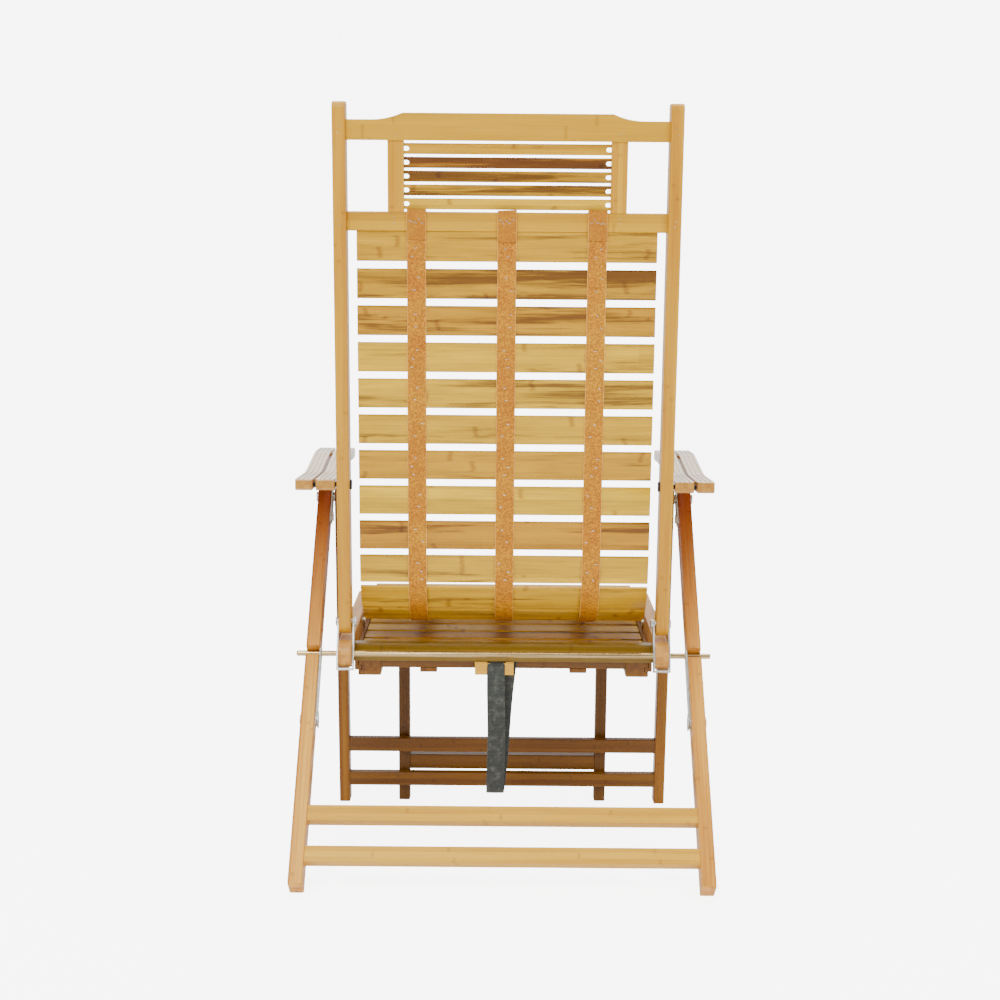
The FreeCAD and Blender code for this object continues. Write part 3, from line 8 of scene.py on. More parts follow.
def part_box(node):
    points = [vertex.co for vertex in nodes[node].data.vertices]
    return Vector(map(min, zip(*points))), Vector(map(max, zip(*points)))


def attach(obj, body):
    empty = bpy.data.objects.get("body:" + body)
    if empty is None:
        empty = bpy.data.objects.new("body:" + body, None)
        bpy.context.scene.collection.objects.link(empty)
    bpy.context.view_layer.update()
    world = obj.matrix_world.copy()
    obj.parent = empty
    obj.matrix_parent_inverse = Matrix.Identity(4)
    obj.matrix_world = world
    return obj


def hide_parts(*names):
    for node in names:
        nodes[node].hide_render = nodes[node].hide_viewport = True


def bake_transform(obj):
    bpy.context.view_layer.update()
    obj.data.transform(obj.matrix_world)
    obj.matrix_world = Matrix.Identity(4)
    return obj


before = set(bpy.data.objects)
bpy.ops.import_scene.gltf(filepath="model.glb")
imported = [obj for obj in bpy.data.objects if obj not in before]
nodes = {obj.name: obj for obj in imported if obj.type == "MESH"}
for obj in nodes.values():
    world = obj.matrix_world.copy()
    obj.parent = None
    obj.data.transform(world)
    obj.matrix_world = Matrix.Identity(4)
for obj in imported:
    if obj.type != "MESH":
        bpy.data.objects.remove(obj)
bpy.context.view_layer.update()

# Rear legs and their two stretchers: the longest boards, reddish caramel with a bright
# lacquer, leaning back at about 39 degrees. The legs carry painted shade toward the apex,
# where the armrests shadow them.


def paint(code):
    """An sRGB hex colour as linear light for a shader."""
    parts = [int(code[index:index + 2], 16) / 255 for index in (0, 2, 4)]
    return [c / 12.92 if c <= 0.04045 else ((c + 0.055) / 1.055) ** 2.4 for c in parts] + [1]


def add(tree, kind, settings=None, values=None, links=None):
    """Adds a shader node with its settings, constant inputs and links."""
    node = tree.nodes.new("ShaderNode" + kind)
    for key, value in (settings or {}).items():
        setattr(node, key, value)
    for key, value in (values or {}).items():
        node.inputs[key].default_value = value
    for key, socket in (links or {}).items():
        tree.links.new(socket, node.inputs[key])
    return node


def blank(name):
    """A material with an empty tree, and its output."""
    material = bpy.data.materials.new(name)
    material.use_nodes = True
    material.node_tree.nodes.clear()
    return material, material.node_tree, add(material.node_tree, "OutputMaterial")


def dress(material, *names):
    """Gives CAD nodes a material."""
    for name in names:
        nodes[name].data.materials.clear()
        nodes[name].data.materials.append(material)


def bamboo(name, turn, pale, deep, seed, strip=0.0068, rough=0.3, gloss=0.08, top_highlight=0.0,
           apex_shade=0.0):
    """Laminated board: split strips of cane glued side by side, sanded and lacquered.

    The eye sees strips of slightly different tone, fine fibres along them, a darker ring where
    the cane had a node, and a soft shine. A painted highlight lightens the faces that look up,
    and painted shade darkens the wood toward the height of the apex. The turn lays the fibres
    along the board.
    """
    material, tree, out = blank(name)
    place = add(tree, "TexCoord").outputs["Object"]
    along = add(tree, "Mapping", None, {"Rotation": turn, "Location": (seed, seed, seed)},
                {"Vector": place}).outputs["Vector"]
    split = add(tree, "SeparateXYZ", links={"Vector": along})
    cell = add(tree, "VectorMath", {"operation": "MULTIPLY"},
               {1: (0.001, 1 / strip, 1 / strip)}, {0: along})
    strips = add(tree, "VectorMath", {"operation": "FLOOR"}, links={0: cell.outputs[0]})
    tone = add(tree, "TexWhiteNoise", links={"Vector": strips.outputs[0]}).outputs["Value"]
    # Fibres are about 1.4 mm wide and 170 mm long, and clouds of tone 22 by 290 mm.
    fine = add(tree, "Mapping", None, {"Scale": (6, 700, 700)}, {"Vector": along})
    fibre = add(tree, "TexNoise", None, {"Scale": 1.0, "Detail": 3.0, "Roughness": 0.62},
                {"Vector": fine.outputs["Vector"]}).outputs["Fac"]
    wide = add(tree, "Mapping", None, {"Scale": (3.5, 45, 45)}, {"Vector": along})
    cloud = add(tree, "TexNoise", None, {"Scale": 1.0, "Detail": 4.0, "Roughness": 0.55},
                {"Vector": wide.outputs["Vector"]}).outputs["Fac"]
    # The cane's rings are 310 mm apart, and each strip has its own offset.
    count = add(tree, "Math", {"operation": "MULTIPLY_ADD"}, {1: 3.2},
                {0: split.outputs["X"], 2: tone})
    ragged = add(tree, "Math", {"operation": "MULTIPLY_ADD"}, {1: 0.03},
                 {0: fibre, 2: count.outputs[0]})
    phase = add(tree, "Math", {"operation": "PINGPONG"}, {1: 0.5}, {0: ragged.outputs[0]})
    ring = add(tree, "MapRange", {"interpolation_type": "SMOOTHSTEP"},
               {"From Min": 0.0, "From Max": 0.013, "To Min": 0.3, "To Max": 0.0},
               {"Value": phase.outputs[0]}).outputs["Result"]
    grain = add(tree, "Math", {"operation": "MULTIPLY_ADD"}, {1: 0.45}, {0: tone, 2: fibre})
    level = add(tree, "Math", {"operation": "MULTIPLY_ADD"}, {1: 0.7},
                {0: cloud, 2: grain.outputs[0]})
    shade = add(tree, "MapRange", None, {"From Min": 0.7, "From Max": 1.45},
                {"Value": level.outputs[0]})
    body = add(tree, "Mix", {"data_type": "RGBA"}, {6: paint(deep), 7: paint(pale)},
               {0: shade.outputs["Result"]})
    ringed = add(tree, "Mix", {"data_type": "RGBA", "blend_type": "MULTIPLY"},
                 {7: paint("96601C")}, {0: ring, 6: body.outputs[2]})
    # Faces that look up get a painted highlight: pale cream mixed in as they turn upward.
    facing = add(tree, "SeparateXYZ", links={"Vector": add(tree, "TexCoord").outputs["Normal"]})
    top_highlight_share = add(tree, "MapRange", None, {"From Min": 0.4, "From Max": 0.95, "To Max": top_highlight},
                 {"Value": facing.outputs["Z"]})
    top_highlighted = add(tree, "Mix", {"data_type": "RGBA"}, {7: paint("FFEBCB")},
                {0: top_highlight_share.outputs["Result"], 6: ringed.outputs[2]})
    # Painted shade, in place of the armrests' shadow, starts below the seat, at 260 mm, and is
    # full at the apex, at 560 mm.
    apex_shade_share = add(tree, "MapRange", None, {"From Min": 0.26, "From Max": 0.56, "To Max": apex_shade},
                  {"Value": add(tree, "SeparateXYZ", links={"Vector": place}).outputs["Z"]})
    apex_shaded = add(tree, "Mix", {"data_type": "RGBA", "blend_type": "MULTIPLY"},
                 {7: paint("A05A12")}, {0: apex_shade_share.outputs["Result"], 6: top_highlighted.outputs[2]})
    low = add(tree, "Bump", None, {"Strength": 0.22, "Distance": 0.0003}, {"Height": fibre})
    high = add(tree, "Bump", None, {"Strength": 0.3, "Distance": 0.0003},
               {"Height": ring, "Normal": low.outputs["Normal"]})
    dull = add(tree, "MapRange", None, {"To Min": rough, "To Max": rough + 0.15},
               {"Value": cloud})
    coat = add(tree, "BsdfPrincipled", None,
               {"Coat Weight": gloss, "Coat Roughness": 0.2, "Specular IOR Level": 0.3},
               {"Base Color": apex_shaded.outputs[2], "Roughness": dull.outputs["Result"],
                "Normal": high.outputs["Normal"]})
    tree.links.new(coat.outputs["BSDF"], out.inputs["Surface"])
    return material


upright = math.radians(90)
rear_lean = math.radians(-38.9)
# The rear legs carry painted shade toward the apex, in place of the armrests' shadow.
rear_wood = bamboo("Lacquered bamboo, rear legs", (rear_lean, upright, 0),
                   "F2B548", "B56C16", 3.1, apex_shade=0.95)
stretcher_wood = bamboo("Lacquered bamboo, stretchers", (rear_lean, 0, 0),
                        "ECB835", "C68E20", 7.3, strip=0.0088)
dress(rear_wood, "rear_leg_left", "rear_leg_right")
dress(stretcher_wood, "rear_upper_stretcher", "rear_lower_stretcher")

# Front legs and their two rails, leaning forward a little: painted darker and browner, as
# painted shade for the shade they stand in under the seat. Their lacquer is the same, so they
# shine where the rear legs do.
front_lean = math.radians(8.8)
front_wood = bamboo("Lacquered bamboo, front legs", (front_lean, upright, 0),
                    "946108", "6D3C02", 5.7)
rail_wood = bamboo("Lacquered bamboo, front rails", (front_lean, 0, 0),
                   "774D05", "5A3202", 9.2, strip=0.0085)
dress(front_wood, "front_leg_left", "front_leg_right")
dress(rail_wood, "front_upper_rail", "front_lower_rail")

# Back frame: two golden stiles, the shaped crest rail, the cross rail that carries the straps,
# and the short uprights of the head panel. The two rails are laid up from broad strips.
back_lean = math.radians(6.9)
stile_wood = bamboo("Lacquered bamboo, stiles", (back_lean, upright, 0),
                    "D9A519", "B6780B", 1.4)
cross_wood = bamboo("Lacquered bamboo, crest and cross rail", (back_lean, 0, 0),
                    "D5A312", "B07A07", 4.6, strip=0.021)
dress(stile_wood, "back_stile_left", "back_stile_right", "head_stiles")
dress(cross_wood, "crest_rail", "back_cross_rail")


# Slats: thin flat lengths planed from two or three strips, mustard yellow. Some carry olive or
# umber stains that run with the fibres, and most show one or two cane nodes.
def slat_bamboo():
    """Flat-planed cane, thinly lacquered: long fibres, broad clouds, olive and umber stains.

    A slat's object colour drives its own look: red its warmth, green its share of stain, and
    blue the place in the cane that it was cut from.
    """
    material, tree, out = blank("Split bamboo slats with stains")
    place = add(tree, "TexCoord").outputs["Object"]
    info = add(tree, "ObjectInfo")
    own = add(tree, "SeparateColor", links={"Color": info.outputs["Color"]})
    start = add(tree, "VectorMath", {"operation": "SCALE"}, {0: (31.0, 17.0, 11.0)},
                {"Scale": own.outputs["Blue"]})
    along = add(tree, "VectorMath", {"operation": "ADD"},
                links={0: place, 1: start.outputs[0]})
    split = add(tree, "SeparateXYZ", links={"Vector": along.outputs[0]})
    # Fibres are about 2 mm wide, strips 17 mm, clouds 14 by 140 mm and stains 22 by 380 mm.
    fine = add(tree, "Mapping", None, {"Scale": (5, 520, 520)}, {"Vector": along.outputs[0]})
    fibre = add(tree, "TexNoise", None, {"Scale": 1.0, "Detail": 4.0, "Roughness": 0.62},
                {"Vector": fine.outputs["Vector"]}).outputs["Fac"]
    strip = add(tree, "Mapping", None, {"Scale": (0.4, 58, 58)}, {"Vector": along.outputs[0]})
    cell = add(tree, "VectorMath", {"operation": "FLOOR"}, links={0: strip.outputs["Vector"]})
    tone = add(tree, "TexWhiteNoise", links={"Vector": cell.outputs[0]}).outputs["Value"]
    slow = add(tree, "Mapping", None, {"Scale": (7, 70, 70)}, {"Vector": along.outputs[0]})
    cloud = add(tree, "TexNoise", None,
                {"Scale": 1.0, "Detail": 5.0, "Roughness": 0.6, "Distortion": 0.4},
                {"Vector": slow.outputs["Vector"]}).outputs["Fac"]
    level = add(tree, "Math", {"operation": "MULTIPLY_ADD"}, {1: 0.9}, {0: cloud, 2: fibre})
    lifted = add(tree, "Math", {"operation": "MULTIPLY_ADD"}, {1: 0.25},
                 {0: tone, 2: level.outputs[0]})
    shade = add(tree, "MapRange", None, {"From Min": 0.72, "From Max": 1.4},
                {"Value": lifted.outputs[0]})
    base = add(tree, "Mix", {"data_type": "RGBA"}, {6: paint("B28805"), 7: paint("ECBE1A")},
               {0: shade.outputs["Result"]})
    mild = add(tree, "Mix", {"data_type": "RGBA", "blend_type": "MULTIPLY"},
               {7: paint("C08A30")}, {0: own.outputs["Red"], 6: base.outputs[2]})
    patch = add(tree, "Mapping", None, {"Scale": (2.6, 46, 46), "Location": (3, 5, 9)},
                {"Vector": along.outputs[0]})
    blot = add(tree, "TexNoise", None,
               {"Scale": 1.0, "Detail": 6.0, "Roughness": 0.65, "Distortion": 0.35},
               {"Vector": patch.outputs["Vector"]}).outputs["Fac"]
    streak = add(tree, "Math", {"operation": "MULTIPLY_ADD"}, {1: 0.3}, {0: fibre, 2: blot})
    reach = add(tree, "Math", {"operation": "MULTIPLY_ADD"}, {1: 0.34, 2: -0.86},
                {0: own.outputs["Green"]})
    stained = add(tree, "Math", {"operation": "ADD"},
                  links={0: streak.outputs[0], 1: reach.outputs[0]})
    stain = add(tree, "MapRange", {"interpolation_type": "SMOOTHSTEP"},
                {"From Min": 0.0, "From Max": 0.14, "To Max": 0.85},
                {"Value": stained.outputs[0]}).outputs["Result"]
    dark = add(tree, "Mix", {"data_type": "RGBA", "blend_type": "MULTIPLY"},
               {7: paint("74540C")}, {0: stain, 6: mild.outputs[2]})
    count = add(tree, "Math", {"operation": "MULTIPLY_ADD"}, {1: 2.4},
                {0: split.outputs["X"], 2: tone})
    ragged = add(tree, "Math", {"operation": "MULTIPLY_ADD"}, {1: 0.05},
                 {0: cloud, 2: count.outputs[0]})
    phase = add(tree, "Math", {"operation": "PINGPONG"}, {1: 0.5}, {0: ragged.outputs[0]})
    ring = add(tree, "MapRange", {"interpolation_type": "SMOOTHSTEP"},
               {"From Min": 0.0, "From Max": 0.017, "To Min": 0.5, "To Max": 0.0},
               {"Value": phase.outputs[0]}).outputs["Result"]
    ringed = add(tree, "Mix", {"data_type": "RGBA", "blend_type": "MULTIPLY"},
                 {7: paint("A06E20")}, {0: ring, 6: dark.outputs[2]})
    low = add(tree, "Bump", None, {"Strength": 0.25, "Distance": 0.0003}, {"Height": fibre})
    high = add(tree, "Bump", None, {"Strength": 0.3, "Distance": 0.0004},
               {"Height": ring, "Normal": low.outputs["Normal"]})
    gloss = add(tree, "MapRange", None, {"To Min": 0.3, "To Max": 0.5}, {"Value": cloud})
    coat = add(tree, "BsdfPrincipled", None,
               {"Coat Weight": 0.06, "Coat Roughness": 0.2, "Specular IOR Level": 0.3},
               {"Base Color": ringed.outputs[2], "Roughness": gloss.outputs["Result"],
                "Normal": high.outputs["Normal"]})
    tree.links.new(coat.outputs["BSDF"], out.inputs["Surface"])
    return material


def shown(name, mesh, material, body=None):
    """Puts a finished mesh in the scene, dressed, and lets it ride on a body."""
    piece = bpy.data.objects.new(name, mesh)
    bpy.context.scene.collection.objects.link(piece)
    mesh.materials.clear()
    mesh.materials.append(material)
    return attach(piece, body) if body else piece


def loose_copy(node):
    """A CAD node's mesh as an editable copy, with the doubled points of its faces joined."""
    copy = bmesh.new()
    copy.from_mesh(nodes[node].data)
    bmesh.ops.remove_doubles(copy, verts=copy.verts, dist=2e-5)
    return copy


def split_slats(node, looks, body):
    """One object for each slat of a CAD node, top or rear first, each with its own look."""
    whole = loose_copy(node)
    waiting, rows = set(whole.verts), []
    while waiting:
        found, edge = set(), [waiting.pop()]
        while edge:
            vert = edge.pop()
            found.add(vert)
            for link in vert.link_edges:
                other = link.other_vert(vert)
                if other in waiting:
                    waiting.discard(other)
                    edge.append(other)
        rows.append(found)
    rows.sort(key=lambda row: -sum(v.co.z + v.co.y for v in row) / len(row))
    pieces = []
    for number, (row, look) in enumerate(zip(rows, looks)):
        single = whole.copy()
        single.verts.ensure_lookup_table()
        keep = {v.index for v in row}
        bmesh.ops.delete(single, geom=[v for v in single.verts if v.index not in keep],
                         context="VERTS")
        mesh = bpy.data.meshes.new("%s_%d" % (node, number))
        single.to_mesh(mesh)
        single.free()
        for face in mesh.polygons:
            face.use_smooth = True
        mesh.set_sharp_from_angle(angle=sharp_edge)
        piece = shown("%s_%d" % (node, number), mesh, slat_skin, body)
        piece.color = (*look, 1)
        pieces.append(piece)
    whole.free()
    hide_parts(node)
    return pieces


slat_skin = slat_bamboo()
sharp_edge = math.radians(35)

# Each look is warmth, share of stain, and the place in the cane that it was cut from.
back_row = split_slats("back_slats", [
    (0.35, 0.62, 0.11), (0.42, 0.80, 0.27), (0.52, 0.66, 0.36), (0.12, 0.42, 0.41),
    (0.10, 0.72, 0.53), (0.14, 0.34, 0.67), (0.42, 0.50, 0.73), (0.00, 0.20, 0.85),
    (0.62, 0.55, 0.91), (0.14, 0.38, 0.99)], "back")
# The top slat touches the cross rail, so no light shows between them.
slat_lift = (0, 0.00004, 0.0003)
back_row[0].data.transform(Matrix.Translation(slat_lift))
split_slats("head_slats", [
    (0.40, 0.60, 0.17), (0.75, 1.00, 0.23), (0.45, 0.95, 0.37), (0.40, 0.80, 0.43),
    (0.15, 0.35, 0.59)], "back")
split_slats("seat_slats", [
    (0.20, 0.45, 0.63), (0.30, 0.30, 0.71), (0.10, 0.55, 0.79), (0.25, 0.40, 0.87)], "seat")
split_slats("footrest_slats", [
    (0.35, 0.50, 0.13), (0.20, 0.35, 0.29), (0.45, 0.60, 0.31), (0.15, 0.40, 0.47),
    (0.30, 0.30, 0.57), (0.25, 0.55, 0.61)], "footrest")
bending = split_slats("bend_slats", [
    (0.30, 0.45, 0.69), (0.35, 0.50, 0.77), (0.20, 0.40, 0.83)], None)

# The two upper bend slats have their placement baked into their meshes and ride on no body,
# and the lowest one lies on the seat and rides on it.
for piece, pair in zip(bending, (("stile_bolts", "back"), ("seat", "stile_bolts"))):
    base, top = piece.bound_box[0][2], piece.bound_box[6][2]
    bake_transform(piece)
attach(bending[2], "seat")

# Straps: three strips of orange-brown leather, pebbled on the grain side, with pale cut edges.
# They hang over the cross rail, run behind the slats and end on the seat's front rail.
strap_pitch = 0.141
strap_wide = 0.030
strap_middles = (-strap_pitch, 0.0, strap_pitch)


def leather(name, pale, deep, pebble):
    """Dyed strap leather: 2.4 mm pebbles that catch the light, cloudy dye, and raw cut edges."""
    material, tree, out = blank(name)
    place = add(tree, "TexCoord").outputs["Object"]
    cells = add(tree, "TexVoronoi", {"feature": "SMOOTH_F1"}, {"Scale": 420.0},
                {"Vector": place}).outputs["Distance"]
    soft = add(tree, "TexNoise", None, {"Scale": 240.0, "Detail": 4.0}, {"Vector": place})
    broad = add(tree, "TexNoise", None, {"Scale": 22.0, "Detail": 3.0}, {"Vector": place})
    height = add(tree, "Math", {"operation": "MULTIPLY_ADD"}, {1: 0.8},
                 {0: soft.outputs["Fac"], 2: cells})
    worn = add(tree, "MapRange", None, {"From Min": 0.42, "From Max": 0.95},
               {"Value": height.outputs[0]})
    grain = add(tree, "Mix", {"data_type": "RGBA"}, {6: paint(pale), 7: paint(deep)},
                {0: worn.outputs["Result"]})
    dulled = add(tree, "Mix", {"data_type": "RGBA", "blend_type": "MULTIPLY"},
                 {7: paint("D8A050")}, {0: broad.outputs["Fac"], 6: grain.outputs[2]})
    split = add(tree, "SeparateXYZ", links={"Vector": place})
    # How far a point is from its strap's middle, which repeats with the straps' pitch.
    moved = add(tree, "Math", {"operation": "ADD"}, {1: 3.5 * strap_pitch},
                {0: split.outputs["X"]})
    inside = add(tree, "Math", {"operation": "MODULO"}, {1: strap_pitch}, {0: moved.outputs[0]})
    middle = add(tree, "Math", {"operation": "SUBTRACT"}, {1: strap_pitch / 2},
                 {0: inside.outputs[0]})
    off = add(tree, "Math", {"operation": "ABSOLUTE"}, links={0: middle.outputs[0]})
    edge = add(tree, "MapRange", None,
               {"From Min": strap_wide / 2 - 0.001, "From Max": strap_wide / 2 - 0.0002,
                "To Max": 0.75}, {"Value": off.outputs[0]})
    cut = add(tree, "Mix", {"data_type": "RGBA"}, {7: paint("F2BC60")},
              {0: edge.outputs["Result"], 6: dulled.outputs[2]})
    bump = add(tree, "Bump", None, {"Strength": pebble, "Distance": 0.0006},
               {"Height": height.outputs[0]})
    skin = add(tree, "BsdfPrincipled", None,
               {"Roughness": 0.5, "Coat Weight": 0.04, "Coat Roughness": 0.4,
                "Specular IOR Level": 0.25},
               {"Base Color": cut.outputs[2], "Normal": bump.outputs["Normal"]})
    tree.links.new(skin.outputs["BSDF"], out.inputs["Surface"])
    return material


strap_leather = leather("Pebbled strap leather", "EDB202", "B27A02", 0.9)
flap_leather = leather("Smooth strap leather, flesh side", "D29B0C", "B27805", 0.15)
cut_step = 0.007
edge_waver = 0.0005
face_waver = 0.0004


def hand_cut(strap, along, outward):
    """Cuts a strap's mesh across in short steps, then gives its edges and face a waver."""
    places = [v.co.dot(along) for v in strap.verts]
    first = min(places)
    for step in range(1, int((max(places) - first) / cut_step)):
        geometry = strap.verts[:] + strap.edges[:] + strap.faces[:]
        bmesh.ops.bisect_plane(strap, geom=geometry, plane_no=along,
                               plane_co=along * (first + step * cut_step))
    for vert in strap.verts:
        at, side = vert.co.copy(), round(vert.co.x / strap_pitch)
        run = Vector((side * 3.1, 0, at.dot(along) * 38))
        edge = Vector((9 if at.x > side * strap_pitch else 2, 0, 0))
        face = Vector((at.x * 60, 4, 0))
        vert.co.x += edge_waver * noise.noise(run + edge)
        vert.co += outward * (face_waver * noise.noise(run * 1.7 + face))


def whole_strap(name, node, along, outward, body):
    """The straps of one CAD node, with the waver of leather cut and stretched by hand."""
    strap = loose_copy(node)
    hand_cut(strap, along, outward)
    mesh = bpy.data.meshes.new(name)
    strap.to_mesh(mesh)
    strap.free()
    piece = shown(name, mesh, strap_leather, body)
    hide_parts(node)


upward, rearward = Vector((0, 0, 1)), Vector((0, 1, 0))
whole_strap("back_leather_straps", "back_straps", upward, rearward, "back")
whole_strap("seat_leather_straps", "seat_straps", rearward, upward, "seat")


# Round the bend the straps are cut 18 mm above the stile bolts, into an upper and a lower half.
bolt_low, bolt_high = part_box("stile_bolts")
bolt = Vector((0, (bolt_low.y + bolt_high.y) / 2, (bolt_low.z + bolt_high.z) / 2))
cut_height = bolt.z + 0.018


def strap_half(name, keep_above):
    """The part of the bending straps above or below the cut, with its cut face filled."""
    half = loose_copy("bend_straps")
    hand_cut(half, upward, rearward)
    geometry = half.verts[:] + half.edges[:] + half.faces[:]
    bmesh.ops.bisect_plane(half, geom=geometry, plane_co=(0, 0, cut_height), plane_no=upward,
                           clear_outer=not keep_above, clear_inner=keep_above)
    bmesh.ops.holes_fill(half, edges=[edge for edge in half.edges if edge.is_boundary])
    mesh = bpy.data.meshes.new(name)
    half.to_mesh(mesh)
    half.free()
    mesh.set_sharp_from_angle(angle=sharp_edge)
    piece = shown(name, mesh, strap_leather)
    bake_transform(piece)
    return piece


upper = strap_half("bend_straps_upper", True)
strap_half("bend_straps_lower", False)
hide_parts("bend_straps")

# Loose ends of the straps: the smooth side of the leather turned over the cross rail and
# stapled, ending just below it, each cut a little askew.
back_up = Vector((0, math.sin(back_lean), math.cos(back_lean)))
back_out = Vector((0, back_up.z, -back_up.y))


def on_back(x, rise, out):
    """A point on the back: across, up along the stiles from their bolts, out to the rear."""
    return bolt + Vector((x, 0, 0)) + back_up * rise + back_out * out


def weave_rows(strip, rows):
    """Joins rows of points with faces."""
    for first, second in zip(rows, rows[1:]):
        for index in range(len(first) - 1):
            strip.faces.new((first[index], first[index + 1], second[index + 1], second[index]))


def strap_flap(name, columns):
    """A leather end from pairs of points down its edges, thickened outward, with round edges."""
    strip = bmesh.new()
    weave_rows(strip, [[strip.verts.new(left), strip.verts.new((left + right) / 2),
                        strip.verts.new(right)] for left, right in columns])
    mesh = bpy.data.meshes.new(name)
    strip.to_mesh(mesh)
    strip.free()
    piece = shown(name, mesh, flap_leather)
    solid = piece.modifiers.new("thickness", "SOLIDIFY")
    solid.thickness, solid.offset = flap_thick, 1
    round_edge = piece.modifiers.new("cut edge", "BEVEL")
    round_edge.width, round_edge.segments = flap_thick * 0.3, 2
    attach(piece, "back")


# Rises are measured along the stiles from their bolts, and outs from the bolts' plane: over the
# rail's top edge, flat behind it, and a slight lift where the flap passes the first slat.
flap_thick = 0.0022
strap_face = 0.010
flap_rises = (0.6678, 0.6664, 0.6500, 0.6330, 0.6212)
flap_lifts = (-0.0012, 0.0004, 0.0003, 0.0006, 0.0002)
flap_slants = (0.0008, -0.0012, 0.0010)
for number, (middle, slant) in enumerate(zip(strap_middles, flap_slants)):
    rises = flap_rises[:-1] + (flap_rises[-1] + slant,)
    columns = [(on_back(middle - strap_wide / 2, rise, strap_face + lift),
                on_back(middle + strap_wide / 2, rise + slant, strap_face + lift))
               for rise, lift in zip(rises, flap_lifts)]
    strap_flap("strap_flap_%d" % number, columns)


# Staples: short bright wire crowns driven through the leather into every slat, at a slant,
# and a cluster of five through each flap into the cross rail.
def bright_metal(name, tone, rough, scratches, high="F2F0EC"):
    """Plated or blued steel: cloudy plating with fine scratches that blur the highlights."""
    material, tree, out = blank(name)
    place = add(tree, "TexCoord").outputs["Object"]
    lines = add(tree, "Mapping", None, {"Scale": scratches}, {"Vector": place})
    wear = add(tree, "TexNoise", None, {"Scale": 1.0, "Detail": 5.0, "Roughness": 0.7},
               {"Vector": lines.outputs["Vector"]})
    tint = add(tree, "MapRange", None, {"From Min": 0.35, "From Max": 0.7},
               {"Value": wear.outputs["Fac"]})
    grey = add(tree, "Mix", {"data_type": "RGBA"}, {6: paint(tone), 7: paint(high)},
               {0: tint.outputs["Result"]})
    dull = add(tree, "MapRange", None, {"To Min": rough, "To Max": rough + 0.18},
               {"Value": wear.outputs["Fac"]})
    metal = add(tree, "BsdfPrincipled", None, {"Metallic": 1.0},
                {"Base Color": grey.outputs[2], "Roughness": dull.outputs["Result"]})
    tree.links.new(metal.outputs["BSDF"], out.inputs["Surface"])
    return material


staple_wire = bright_metal("Bright staple wire", "CFCFCB", 0.22, (300, 300, 300))
random.seed(7)
crown_half, wire_half, leg_sunk = 0.0021, 0.0004, 0.0008
sideways = Vector((1, 0, 0))


def staple(mesh, at):
    """One staple crown: a thin wire with its ends turned in, lying at a slant."""
    angle = random.uniform(-0.3, 0.9)
    along = sideways * math.cos(angle) + back_up * math.sin(angle)
    side = back_out.cross(along)
    path = [at + along * crown_half * end + back_out * depth
            for end, depth in ((-1, -leg_sunk), (-1, wire_half), (1, wire_half), (1, -leg_sunk))]
    rings = []
    for point in path:
        rings.append([mesh.verts.new(point + side * wire_half * a
                                     + back_out * wire_half * b * 0.8
                                     + along * wire_half * b * 0.2)
                      for a, b in ((-1, -1), (1, -1), (1, 1), (-1, 1))])
    for first, second in zip(rings, rings[1:]):
        for index in range(4):
            mesh.faces.new((first[index], first[(index + 1) % 4], second[(index + 1) % 4],
                            second[index]))
    mesh.faces.new(rings[0][::-1])
    mesh.faces.new(rings[-1])


slat_top, slat_pitch, slat_tall = 0.6330, 0.0579, 0.0467
cluster_rise, flap_face = 0.652, strap_face + 0.0026
spots = []
for middle in strap_middles:
    for number in range(10):
        top = slat_top - number * slat_pitch
        for share in ((0.24, 0.66) if number % 3 else (0.2, 0.5, 0.78)):
            x = middle + random.uniform(-0.009, 0.009)
            spots.append(on_back(x, top - slat_tall * share, strap_face))
    for aside in (-0.009, -0.004, 0.001, 0.006, 0.010):
        rise = cluster_rise + random.uniform(-0.004, 0.004)
        spots.append(on_back(middle + aside, rise, flap_face))
wires = bmesh.new()
for spot in spots:
    staple(wires, spot)
mesh = bpy.data.meshes.new("back_staples")
wires.to_mesh(mesh)
wires.free()
shown("back_staples", mesh, staple_wire, "back")

# Seat and footrest frames: the seat's rails, olive-gold cross rails and the webbing's pale
# block, and below them the footrest's reddish brown boards and its narrow legs.
foot_leg_lean = math.radians(5.7)
seat_wood = bamboo("Lacquered bamboo, seat rails", (0, 0, upright), "D69E48", "A86C28", 6.4)
seat_cross_wood = bamboo("Lacquered bamboo, seat cross rails", (0, 0, 0),
                         "8E6E0D", "6B4E06", 2.6, strip=0.011, rough=0.22)
foot_wood = bamboo("Lacquered bamboo, footrest frame", (0, 0, upright), "8D5C13", "683C07", 8.8)
foot_cross_wood = bamboo("Lacquered bamboo, footrest cross rails", (0, 0, 0),
                         "7E5211", "5E3607", 2.9, strip=0.011)
foot_leg_wood = bamboo("Lacquered bamboo, footrest legs", (foot_leg_lean, upright, 0),
                       "6C4504", "4C2902", 5.1)
block_wood = bamboo("Lacquered bamboo, webbing block", (0, 0, 0), "F0BD33", "D2951E", 1.9)
dress(seat_wood, "seat_rail_left", "seat_rail_right")
dress(seat_cross_wood, "seat_rear_rail", "seat_front_rail")
dress(foot_wood, "footrest_side_rail_left", "footrest_side_rail_right", "footrest_battens",
      "footrest_runners")
dress(foot_cross_wood, "footrest_rear_rail", "footrest_front_rail")
dress(foot_leg_wood, "footrest_leg_left", "footrest_leg_right")
# The footrest's leg rail has the front rails' wood, with its painted shade.
dress(rail_wood, "footrest_leg_rail")
dress(block_wood, "webbing_block")

# Armrests: two grooved planks a side, joined by dowels, caramel below and painted nearly white
# on top as a painted highlight, with the thickest and glossiest lacquer of the chair.
arm_wood = bamboo("Lacquered bamboo, armrests", (0, 0, upright), "C59134", "A2671A", 4.4,
                  strip=0.0074, rough=0.2, gloss=0.9, top_highlight=0.85)
dress(arm_wood, "armrest_inner_board_left", "armrest_inner_board_right",
      "armrest_outer_board_left", "armrest_outer_board_right", "armrest_dowels_left",
      "armrest_dowels_right")

